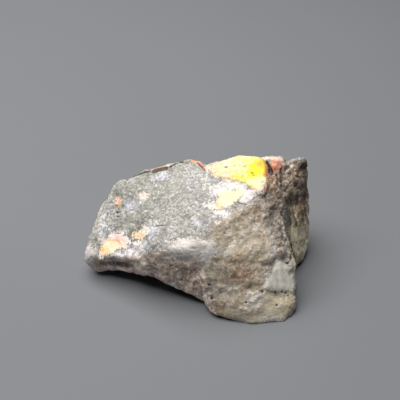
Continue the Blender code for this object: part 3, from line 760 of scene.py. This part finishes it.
def broken_relief(points, normals):
    """How far the skin stands out, in mm: grains, chips, ribs, splits, the plateau's step and cracks."""
    spots = sighted(points)
    seen = facing_camera(points, normals)
    zones = seen_zones(points, normals)
    chipped = np.clip(added_up(zones, CHIPPED_PARTS), 0, 1)
    calm = np.clip(added_up(zones, CALM_PARTS), 0, 1)
    ribbed = np.clip(added_up(zones, RIBBED_PARTS), 0, 1)
    on_glow = smooth_step(0.0, 0.5, glow_depth(points, normals))

    relief = UNEVENNESS * rough(points, UNEVEN_WIDTH, 4)
    sugar = (FINE_GRAINS * grain_faces(points, FINE_GRAIN_WIDTH, 3.0)
             + COARSE_GRAINS * grain_faces(points, COARSE_GRAIN_WIDTH, 11.0))
    relief += sugar * (1 - 0.85 * calm) * (1 - 0.55 * on_glow) * (1 - 0.4 * zones["buttress"])
    patchy = smooth_step(-0.35, 0.35, rough(points + 90, UNEVEN_WIDTH, 2))
    lumps = (LUMPS + PATCHY_LUMPS * patchy) * (billows(points, LUMP_WIDTH, 5.0) - 0.3)
    chips = CHIPS * grain_faces(points, CHIP_WIDTH, 27.0) + lumps
    relief += chips * chipped * (1 - 0.9 * calm)
    relief += RIBS * rough(points / (1.0, 1.0, RIB_STRETCH), RIB_WIDTH, 2) * ribbed

    across = points @ (0.93, 0.37, 0.0)
    split_steps = np.abs((across / SPLIT_WIDTH + 0.15 * rough(points, 8.0, 2)) % 1 - 0.5)
    relief += SPLIT_STEPS * zones["cleavage"] * (split_steps - 0.25)
    relief += PLATEAU_STEP * smooth_step(-0.15, 0.45, depth_inside(spots, PLATEAU_GLOW)) * seen
    relief -= CRACK_DEPTH * smooth_step(-0.25, 0.25, line_depth(points, normals, DARK_LINES, BLACK_DOTS))
    relief -= SEAM_DEPTH * smooth_step(-0.8, 0.6, line_depth(points, normals, [LIP_SEAM]))
    past_fold = np.clip(gap_past_line(spots, *CLEAVAGE_FOLD), 0, FOLD_REACH)
    below_top = CLEAVAGE_TOP - spots[:, 1]
    relief += (CLEAVAGE_LEAN * below_top - CLEAVAGE_FOLD_DEPTH * past_fold) * zones["cleavage"]
    relief += PALE_LUMP_HEIGHT * smooth_step(-0.1, 0.8, line_depth(points, normals, (), PALE_LUMPS))
    relief += soft_areas(spots, SWELLINGS) * seen
    relief -= HOLLOW_DEPTH * (zone(spots, HOLLOW, 0.6) * seen)
    return relief


def rock_masks(points, normals):
    """How green, brown, stained, frosted, worn and so on the rock is at each point, and how much painted
    light and shade it carries, from 0 to 1.
    """
    spots = sighted(points)
    seen = facing_camera(points, normals)
    hidden = 1 - seen
    cloud = rough(points + 70, 9.0, 3)
    patchy = rough(points - 40, 6.0, 3)
    broad = rough(points + 130, 17.0, 3)
    near_foot = smooth_step(16, 2, points[:, 2])
    zones = seen_zones(points, normals)
    zones["brown_back"] = hidden * smooth_step(-0.02, 0.22, broad)
    zones["pale_back"] = hidden * smooth_step(0.02, 0.24, -broad - 0.3 * patchy)
    pale_bands = 0.75 * smooth_step(-1.0, 0.5, line_depth(points, normals, PALE_BANDS))
    # Pale bands and worn patches, with painted light where faces turn from the lamp.
    worn = np.maximum(pale_bands, seen * soft_areas(spots, WORN_AND_LIT_AREAS))
    clouds = {
        "green": hidden * (0.45 + 0.5 * patchy),
        "olive": (seen * 0.4 * smooth_step(0.1, 0.6, cloud) * zones["buttress"]
                  + hidden * 0.5 * smooth_step(0.0, 0.6, patchy)),
        "beige": hidden * (0.5 - 0.5 * patchy),
        "brown": 0.3 * hidden * near_foot,
        "stain": 0.7 * zones["brown_back"] * smooth_step(0.0, 0.25, patchy),
        "streak": 0.4 * hidden * smooth_step(0.1, 0.5, -cloud),
        "mottle": -0.85 * zones["ridge_top"] * zones["broken_front"],
        "worn": worn + 0.8 * zones["pale_back"] * smooth_step(0, 0.2, cloud),
        "lilac": 0.3 * hidden * smooth_step(0, 0.4, cloud),
        "speckled": hidden * (0.4 + 0.4 * patchy),
    }
    masks = {}
    for name, shares in MASK_PARTS.items():
        amount = added_up(zones, shares) + clouds.get(name, 0)
        amount = amount + seen * soft_areas(spots, MASK_AREAS.get(name, []))
        masks[name] = np.clip(amount, 0, 1)
    # Painted shade in the hollow.
    masks["hollow"] = zone(spots, HOLLOW, 0.5) * seen
    # White rims by the glow, and painted highlights.
    masks["bright"] = np.maximum(zone(spots, WHITE_EDGE, 0.6), soft_areas(spots, WHITE_RIMS_AND_HIGHLIGHTS)) * seen
    return masks


def mark_masks(points, normals):
    """How deep each point is inside the thin lines, dots and small lumps, in mm."""
    return {
        "crack_and_ledge_shadow": line_depth(points, normals, DARK_LINES, BLACK_DOTS),
        "scratch": line_depth(points, normals, PALE_SCRATCHES),
        "lump": line_depth(points, normals, (), PALE_LUMPS),
        "ember": line_depth(points, normals, EMBER_LINES, EMBER_SPOTS),
        "pink": line_depth(points, normals, PINK_LINES, PINK_SPOTS),
    }


def glow_masks(points, normals):
    """How deep each point is in the glow, and how strong, how hot and how bleached the glow is there."""
    spots = sighted(points)
    seen = facing_camera(points, normals)
    hidden = 1 - seen
    hidden_heat = np.clip(0.56 + 0.7 * rough(points + 5, 5.0, 2), 0.12, 0.95)
    hidden_bleach = np.clip(0.55 + 0.8 * rough(points + 9, 4.0, 2), 0, 1)
    return {
        "glow_depth": glow_depth(points, normals),
        "glow_power": WEAKER_GLOW + (1 - WEAKER_GLOW) * seen * soft_areas(spots, [STRONGEST_GLOW]),
        "glow_heat": seen * blended(spots, GLOW_HEAT) + hidden * hidden_heat,
        "glow_bleach": seen * blended(spots, GLOW_BLEACH) + hidden * hidden_bleach,
    }


def paint_masks(mesh):
    """Writes the masks that the rock's material reads."""
    points, normals, _ = mesh_arrays(mesh)
    masks = rock_masks(points, normals) | mark_masks(points, normals) | glow_masks(points, normals)
    for name, values in masks.items():
        layer = mesh.attributes.new(name, "FLOAT", "POINT")
        layer.data.foreach_set("value", values.astype(np.float32))


def broken_skin(mesh):
    """A fine mesh with the shape of the given one, softened, worn and broken up into grains."""
    mesh = with_modifier(mesh, "REMESH", mode="VOXEL", voxel_size=SKIN_VOXEL * MM, use_smooth_shade=True)
    points, normals, edges = mesh_arrays(mesh)
    on_ground = points[:, 2] < 0.02
    points = smoothed(points, edges, FACET_SOFTENING)
    soft = facing_camera(points, normals) * soft_areas(sighted(points), SOFTENED_AREAS)
    points = worn_round(points, edges, smooth_step(0.05, 0.6, soft), EDGE_WEAR)
    write_points(mesh, points)
    points, normals, edges = mesh_arrays(mesh)
    above_ground = smooth_step(0.0, 1.2, points[:, 2])
    points += normals * (broken_relief(points, normals) * above_ground)[:, None]
    points[:, 2] = np.maximum(points[:, 2], 0)
    points[on_ground, 2] = 0
    write_points(mesh, points)
    mesh.calc_loop_triangles()
    keep = SKIN_TRIANGLES / len(mesh.loop_triangles)
    if keep < 1:
        mesh = with_modifier(mesh, "DECIMATE", ratio=keep)
    mesh.shade_smooth()
    return mesh


def make_stone():
    """The stone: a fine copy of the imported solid, broken up and masked."""
    mesh = broken_skin(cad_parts["rough_stone"].data.copy())
    mesh.name = "stone"
    paint_masks(mesh)
    mesh.materials.clear()
    mesh.materials.append(rock_material())
    stone = bpy.data.objects.new("stone", mesh)
    bpy.context.scene.collection.objects.link(stone)
    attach(stone, "root")
    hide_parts("rough_stone")


# Putting shader nodes down.

def fill_sockets(tree, node, values):
    """Links each value that is a socket, and sets any other."""
    for name, value in values.items():
        if isinstance(value, bpy.types.NodeSocket):
            tree.links.new(value, node.inputs[name])
        else:
            node.inputs[name].default_value = value


def put(tree, kind, values=None, **settings):
    """A new shader node with its settings and socket values."""
    node = tree.nodes.new(kind)
    for name, value in settings.items():
        setattr(node, name, value)
    fill_sockets(tree, node, values or {})
    return node


def maths(tree, operation, a, b=0.0, clamp=False):
    """One sum, difference, product or other operation on two values."""
    return put(tree, "ShaderNodeMath", {0: a, 1: b}, operation=operation, use_clamp=clamp).outputs[0]


def eased(tree, value, low, high, out_low=0.0, out_high=1.0):
    """value carried smoothly from the range low to high into the range out_low to out_high."""
    sockets = {"Value": value, "From Min": low, "From Max": high, "To Min": out_low, "To Max": out_high}
    return put(tree, "ShaderNodeMapRange", sockets, interpolation_type="SMOOTHSTEP").outputs[0]


def tinted(tree, amount, under, over, blend="MIX"):
    """The colour under, covered by the colour over as far as amount says."""
    node = put(tree, "ShaderNodeMix", {0: amount, 6: under, 7: over}, data_type="RGBA", blend_type=blend)
    return node.outputs[2]


def mask(tree, name):
    """The value of one of the skin's masks."""
    return put(tree, "ShaderNodeAttribute", attribute_name=name).outputs["Fac"]


def new_group(name, inputs, outputs):
    """An empty shader group: each input is (name, default) and each output is (name, socket kind)."""
    group = bpy.data.node_groups.new(name, "ShaderNodeTree")
    for label, default in inputs:
        kind = "NodeSocketVector" if default is None else "NodeSocketFloat"
        socket = group.interface.new_socket(label, in_out="INPUT", socket_type=kind)
        if default is not None:
            socket.default_value = default
    for label, kind in outputs:
        group.interface.new_socket(label, in_out="OUTPUT", socket_type=kind)
    return group, group.nodes.new("NodeGroupInput").outputs, group.nodes.new("NodeGroupOutput").inputs


def use_group(tree, group, values):
    """Places a group and returns its outputs."""
    node = tree.nodes.new("ShaderNodeGroup")
    node.node_tree = group
    fill_sockets(tree, node, values)
    return node.outputs


def ragged_group():
    """A soft mask broken up into a ragged one by noise, and at its edge into single grains."""
    group, given, result = new_group(
        "ragged edge",
        [("Place", None), ("Mask", 0.0), ("Grain", 0.5), ("Level", 0.5), ("Softness", 0.1),
         ("Raggedness", 0.5), ("Graininess", 0.3), ("Size", 1.0)],
        [("Mask", "NodeSocketFloat")])
    scale = maths(group, "DIVIDE", 1.0, given["Size"])
    cloud = put(group, "ShaderNodeTexNoise", {"Vector": given["Place"], "Scale": scale, "Detail": 4.0,
                                              "Roughness": 0.65}).outputs["Fac"]
    shift = maths(group, "MULTIPLY", maths(group, "SUBTRACT", cloud, 0.5), given["Raggedness"])
    value = maths(group, "ADD", given["Mask"], maths(group, "MULTIPLY", shift, 2.0))
    speckle = maths(group, "MULTIPLY", maths(group, "SUBTRACT", given["Grain"], 0.5), given["Graininess"])
    value = maths(group, "ADD", value, speckle)
    low = maths(group, "SUBTRACT", given["Level"], given["Softness"])
    high = maths(group, "ADD", given["Level"], given["Softness"])
    group.links.new(eased(group, value, low, high), result["Mask"])
    return group


def sugar_group():
    """Grains packed like sugar: each has its own brightness and stands a little in or out."""
    group, given, result = new_group(
        "sugary grains",
        [("Place", None), ("Size", 0.5)],
        [("Brightness", "NodeSocketFloat"), ("Height", "NodeSocketFloat"), ("Sparkle", "NodeSocketFloat"),
         ("Chance", "NodeSocketFloat")])
    scale = maths(group, "DIVIDE", 1.0, given["Size"])
    cells = put(group, "ShaderNodeTexVoronoi", {"Vector": given["Place"], "Scale": scale, "Randomness": 1.0})
    parts = put(group, "ShaderNodeSeparateColor", {"Color": cells.outputs["Color"]})
    fine_scale = maths(group, "MULTIPLY", scale, 0.8)
    fine = put(group, "ShaderNodeTexNoise", {"Vector": given["Place"], "Scale": fine_scale, "Detail": 3.0,
                                             "Roughness": 0.7}).outputs["Fac"]
    brightness = maths(group, "ADD", maths(group, "MULTIPLY", parts.outputs["Red"], 0.6),
                       maths(group, "MULTIPLY", fine, 0.8))
    height = maths(group, "ADD", maths(group, "MULTIPLY", parts.outputs["Green"], 0.5),
                   maths(group, "SUBTRACT", 0.5, maths(group, "MULTIPLY", cells.outputs["Distance"], 0.8)))
    group.links.new(maths(group, "SUBTRACT", brightness, 0.2), result["Brightness"])
    group.links.new(height, result["Height"])
    group.links.new(eased(group, parts.outputs["Blue"], 0.86, 0.96), result["Sparkle"])
    group.links.new(parts.outputs["Blue"], result["Chance"])
    return group


def speck_group():
    """Small scattered grains of another mineral."""
    group, given, result = new_group(
        "scattered specks",
        [("Place", None), ("Spacing", 1.2), ("Share", 0.5), ("Width", 0.25)],
        [("Mask", "NodeSocketFloat")])
    scale = maths(group, "DIVIDE", 1.0, given["Spacing"])
    warp = put(group, "ShaderNodeTexNoise", {"Vector": given["Place"], "Scale": 2.2, "Detail": 2.0})
    middle = {0: warp.outputs["Color"], 1: (0.5, 0.5, 0.5)}
    bent = put(group, "ShaderNodeVectorMath", middle, operation="SUBTRACT").outputs[0]
    bent = put(group, "ShaderNodeVectorMath", {0: bent, "Scale": 0.5}, operation="SCALE").outputs[0]
    place = put(group, "ShaderNodeVectorMath", {0: given["Place"], 1: bent}, operation="ADD").outputs[0]
    cells = put(group, "ShaderNodeTexVoronoi", {"Vector": place, "Scale": scale, "Randomness": 1.0})
    parts = put(group, "ShaderNodeSeparateColor", {"Color": cells.outputs["Color"]})
    there = maths(group, "LESS_THAN", parts.outputs["Red"], given["Share"])
    away = maths(group, "MULTIPLY", cells.outputs["Distance"], given["Spacing"])
    size = maths(group, "MULTIPLY", given["Width"], maths(group, "ADD", 0.5, parts.outputs["Green"]))
    grain = eased(group, away, size, maths(group, "MULTIPLY", size, 0.6))
    group.links.new(maths(group, "MULTIPLY", grain, there), result["Mask"])
    return group


def glow_colour(tree, heat):
    """The colours of the glowing mineral, from pinkish white over orange and yellow to lemon."""
    ramp = tree.nodes.new("ShaderNodeValToRGB")
    while len(ramp.color_ramp.elements) < len(GLOW_COLOURS):
        ramp.color_ramp.elements.new(0.5)
    for element, (place, colour) in zip(ramp.color_ramp.elements, GLOW_COLOURS):
        element.position = place
        element.color = linear(colour)
    tree.links.new(heat, ramp.inputs["Fac"])
    return ramp.outputs["Color"]


class RockNodes:
    """The rock material's nodes, with the grains, torn masks and clouds that its layers share."""

    def __init__(self, tree):
        self.tree = tree
        metres = put(tree, "ShaderNodeTexCoord").outputs["Object"]
        scaled = put(tree, "ShaderNodeVectorMath", {0: metres, "Scale": 1 / MM}, operation="SCALE")
        self.place = scaled.outputs[0]
        self.ragged = ragged_group()
        self.speck = speck_group()
        sugar = sugar_group()
        self.grain = use_group(tree, sugar, {"Place": self.place, "Size": GRAIN_WIDTH})
        self.clump = use_group(tree, sugar, {"Place": self.place, "Size": CLUMP_WIDTH})

    def torn(self, name, level, softness, raggedness, size, graininess):
        """A mask torn into a ragged and grainy one."""
        values = {"Place": self.place, "Mask": mask(self.tree, name), "Grain": self.grain["Chance"],
                  "Level": level, "Softness": softness, "Raggedness": raggedness,
                  "Graininess": graininess, "Size": size}
        return use_group(self.tree, self.ragged, values)["Mask"]

    def cloud(self, size, detail=4.0, stretch=None):
        """Soft noise as wide as size, in mm."""
        where = self.place
        if stretch:
            values = {0: self.place, 1: stretch}
            where = put(self.tree, "ShaderNodeVectorMath", values, operation="MULTIPLY").outputs[0]
        values = {"Vector": where, "Scale": 1 / size, "Detail": detail, "Roughness": 0.65}
        return put(self.tree, "ShaderNodeTexNoise", values).outputs["Fac"]

    def specks(self, spacing, share, width):
        """Scattered grains: spacing and width in mm, and the share of places that has one."""
        values = {"Place": self.place, "Spacing": spacing, "Share": share, "Width": width}
        return use_group(self.tree, self.speck, values)["Mask"]

    def share(self, amount, part):
        """A part of an amount."""
        return maths(self.tree, "MULTIPLY", amount, part)

    def rest(self, amount):
        """What is left of 1."""
        return maths(self.tree, "SUBTRACT", 1.0, amount)

    def about_zero(self, value, middle, reach):
        """A value moved from about its middle to about zero, and made smaller."""
        return self.share(maths(self.tree, "SUBTRACT", value, middle), reach)

    def covered(self, colour, layers):
        """The colour under several torn layers."""
        for name, level, softness, raggedness, size, graininess, cover, paint in layers:
            amount = self.torn(name, level, softness, raggedness, size, graininess)
            if cover < 1:
                amount = self.share(amount, cover)
            colour = tinted(self.tree, amount, colour, linear(paint))
        return colour


def ground_colour(rock):
    """The rock's own colours, with its mottling and its streaks, and painted light on its front, its lobe's
    foot and its worn places.
    """
    tree = rock.tree
    colour = rock.covered(linear(GREY_ROCK), LOWER_LAYERS)
    colour = tinted(tree, eased(tree, rock.cloud(3.0), 0.48, 0.64, 0.0, 0.3), colour, linear(LILAC_GREY))
    colour = rock.covered(colour, UPPER_LAYERS)
    for name, width, detail, stretch, start, end, cover, paint in MOTTLES:
        blots = eased(tree, rock.cloud(width, detail, stretch), start, end)
        blots = rock.share(blots, rock.share(mask(tree, name), cover))
        colour = tinted(tree, blots, colour, linear(paint))
    return colour


def grained_colour(rock, colour, split_face):
    """The colour made lighter and darker from grain to grain, and nearly even on the split face."""
    tree = rock.tree
    grain_light = maths(tree, "ADD", rock.share(rock.grain["Brightness"], 0.95), 0.50)
    clump_light = maths(tree, "ADD", rock.share(rock.clump["Brightness"], 0.70), 0.63)
    broad_light = eased(tree, rock.cloud(5.0, 3.0), 0.3, 0.7, 0.88, 1.12)
    light = rock.share(rock.share(grain_light, clump_light), broad_light)
    contrast = rock.rest(rock.share(rock.torn("calm", 0.5, 0.4, 0.4, 2.2, 0.2), 0.72))
    light = maths(tree, "ADD", rock.about_zero(light, 1.0, contrast), 1.0)
    grey = put(tree, "ShaderNodeCombineColor", {"Red": light, "Green": light, "Blue": light}).outputs[0]
    grained = tinted(tree, 1.0, colour, grey, "MULTIPLY")
    upright = eased(tree, rock.cloud(1.0, 2.0, (1.0, 1.0, 0.1)), 0.40, 0.60)
    split = tinted(tree, upright, linear(CLEAVAGE_WHITE), linear(CLEAVAGE_SHADE))
    return tinted(tree, split_face, grained, split)


def crusted_and_painted_light_colour(rock, colour, rough_face):
    """The colour under pale and dark specks, lumps, scratches, dark crust and painted shade, the ember
    and pink crusts, white rims and painted highlights, and painted shade in the hollow.
    """
    tree = rock.tree
    pale_specks = rock.share(rock.specks(0.9, 0.32, 0.28), rock.share(rough_face, 0.55))
    colour = tinted(tree, pale_specks, colour, linear(PALE_GRAIN))
    thick_with_specks = eased(tree, rock.cloud(3.4, 3.0), 0.42, 0.60, 0.25, 1.0)
    dark_specks = rock.share(rock.specks(0.75, 0.42, 0.24), thick_with_specks)
    dark_specks = rock.share(dark_specks, rock.torn("speckled", 0.45, 0.4, 0.5, 1.5, 0.2))
    colour = tinted(tree, rock.share(dark_specks, rock.share(rough_face, 0.8)), colour, linear(DARK_CRUST_AND_SHADE))
    colour = rock.covered(colour, MARK_LAYERS)
    ember_colour = tinted(tree, eased(tree, rock.cloud(0.8), 0.5, 0.66), linear(EMBER), linear(CREAM))
    ember = rock.share(rock.torn("ember", 0.05, 0.14, 0.35, 0.9, 0.25), 0.9)
    colour = tinted(tree, ember, colour, ember_colour)
    return rock.covered(colour, CRUST_AND_PAINTED_LIGHT_LAYERS)


def hot_colour(rock):
    """The colour of the glow, hotter and cooler from grain to grain, bleached and smudged."""
    tree = rock.tree
    shift = rock.about_zero(rock.cloud(1.6), 0.5, 0.55)
    shift = maths(tree, "ADD", shift, rock.about_zero(rock.grain["Chance"], 0.5, 0.16))
    rim_heat = eased(tree, mask(tree, "glow_depth"), 0.0, 0.8, -0.14, 0.0)
    heat = maths(tree, "ADD", maths(tree, "ADD", mask(tree, "glow_heat"), shift), rim_heat, True)
    bleach = rock.share(rock.torn("glow_bleach", 0.5, 0.45, 0.5, 1.0, 0.4), 0.85)
    hot = tinted(tree, bleach, glow_colour(tree, heat), linear(BLEACHED_GLOW))
    return tinted(tree, rock.share(rock.specks(1.4, 0.30, 0.40), 0.40), hot, linear(GLOW_SMUDGE))


def rock_bump(rock, split_face):
    """The normal of the skin under single grains and clumps of them."""
    tree = rock.tree
    clump_bump = maths(tree, "ADD", rock.share(mask(tree, "coarse"), COARSE_BUMP), CLUMP_BUMP)
    height = maths(tree, "ADD", rock.share(rock.grain["Height"], GRAIN_BUMP),
                   rock.share(rock.clump["Height"], clump_bump))
    height = rock.share(height, rock.rest(rock.share(split_face, CLEAVAGE_KEEPS_FLAT)))
    return put(tree, "ShaderNodeBump", {"Strength": 0.9, "Distance": MM, "Height": height}).outputs["Normal"]


def rock_material():
    """Sugary rock in several colours, with patches that glow."""
    material = bpy.data.materials.new("sugary rock with glowing veins")
    material.use_nodes = True
    tree = material.node_tree
    shader = tree.nodes["Principled BSDF"]
    rock = RockNodes(tree)

    split_face = rock.torn("split_face", 0.5, 0.34, 0.5, 1.6, 0.3)
    colour = grained_colour(rock, ground_colour(rock), split_face)
    colour = crusted_and_painted_light_colour(rock, colour, rock.rest(split_face))
    hot = hot_colour(rock)
    glow = rock.torn("glow_depth", -0.12, 0.34, 0.9, 1.3, 1.2)
    colour = tinted(tree, glow, colour, tinted(tree, 1.0, hot, GLOW_REFLECTS, "MULTIPLY"))
    # Cracks, dark crust and black dots, and painted shadow under the white edge's ledge.
    crack_and_ledge_shadow = rock.torn("crack_and_ledge_shadow", 0.0, 0.13, 0.34, 0.8, 0.16)
    crack_and_shadow_stain = rock.share(mask(tree, "stain"), 0.35)
    crack_and_shadow_colour = tinted(tree, crack_and_shadow_stain, linear(BLACK_GRAIN_AND_SHADOW), linear(RUST_STAIN))
    colour = tinted(tree, rock.share(crack_and_ledge_shadow, 0.85), colour, crack_and_shadow_colour)
    tree.links.new(colour, shader.inputs["Base Color"])

    shining = rock.share(rock.share(glow, mask(tree, "glow_power")), rock.rest(crack_and_ledge_shadow))
    tree.links.new(tinted(tree, shining, (0, 0, 0, 1), hot), shader.inputs["Emission Color"])
    shader.inputs["Emission Strength"].default_value = GLOW_STRENGTH
    sparkle = rock.share(rock.grain["Sparkle"], rock.rest(crack_and_ledge_shadow))
    roughness = maths(tree, "SUBTRACT", ROUGHNESS, rock.share(sparkle, SPARKLE_SHINE))
    roughness = maths(tree, "SUBTRACT", roughness, rock.share(split_face, CLEAVAGE_SHINE))
    tree.links.new(roughness, shader.inputs["Roughness"])
    shader.inputs["Specular IOR Level"].default_value = 0.45
    shader.inputs["Subsurface Weight"].default_value = LIGHT_GOES_INTO_ROCK
    shader.inputs["Subsurface Radius"].default_value = (1.0, 0.85, 0.7)
    shader.inputs["Subsurface Scale"].default_value = LIGHT_SPREAD * MM
    tree.links.new(rock_bump(rock, split_face), shader.inputs["Normal"])
    return material


# The floor, the light and the camera.

def floor_material():
    """Plain pale paper with hardly any change of tone."""
    material = bpy.data.materials.new("pale floor")
    material.use_nodes = True
    tree = material.node_tree
    shader = tree.nodes["Principled BSDF"]
    metres = put(tree, "ShaderNodeTexCoord").outputs["Object"]
    cloud = put(tree, "ShaderNodeTexNoise", {"Vector": metres, "Scale": 6.0, "Detail": 3.0}).outputs["Fac"]
    darker, lighter = FLOOR_GREYS
    tree.links.new(tinted(tree, cloud, linear(darker), linear(lighter)), shader.inputs["Base Color"])
    shader.inputs["Roughness"].default_value = 0.85
    return material


def make_floor():
    """A flat square that the stone stands on."""
    half = FLOOR_HALF_WIDTH * MM
    mesh = bpy.data.meshes.new("floor")
    corners = [(-half, -half, 0), (half, -half, 0), (half, half, 0), (-half, half, 0)]
    mesh.from_pydata(corners, [], [(0, 1, 2, 3)])
    mesh.materials.append(floor_material())
    floor = bpy.data.objects.new("floor", mesh)
    bpy.context.scene.collection.objects.link(floor)


def make_light():
    """One square soft light overhead."""
    lamp = bpy.data.lights.new("soft light overhead", "AREA")
    lamp.shape = "SQUARE"
    lamp.size = LIGHT_SIDE * MM
    lamp.energy = LIGHT_POWER
    lamp.color = LIGHT_COLOUR
    light = bpy.data.objects.new("soft light overhead", lamp)
    light.location = Vector(LIGHT_PLACE) * MM
    light.rotation_euler = (Vector(LIGHT_PLACE) - Vector(LIGHT_AIM)).to_track_quat("Z", "Y").to_euler()
    bpy.context.scene.collection.objects.link(light)


def light_scene():
    """The soft light, and faint light from all round."""
    make_light()
    world = bpy.data.worlds.new("studio air")
    world.use_nodes = True
    background = world.node_tree.nodes["Background"]
    background.inputs["Color"].default_value = AIR_COLOUR
    background.inputs["Strength"].default_value = AIR_STRENGTH
    bpy.context.scene.world = world
    bpy.context.scene.view_settings.view_transform = "Standard"


def make_camera():
    """The camera at the photograph's viewing angle."""
    lens = bpy.data.cameras.new("camera")
    lens.lens = CAMERA_LENS
    lens.sensor_width = CAMERA_SENSOR
    lens.clip_start = 0.01
    lens.clip_end = 10
    camera = bpy.data.objects.new("camera", lens)
    camera.location = Vector(CAMERA_PLACE * MM)
    camera.rotation_euler = (math.pi / 2 - CAMERA_LOOKS_DOWN, 0, 0)
    bpy.context.scene.collection.objects.link(camera)
    bpy.context.scene.camera = camera


make_camera()
light_scene()
make_floor()
make_stone()
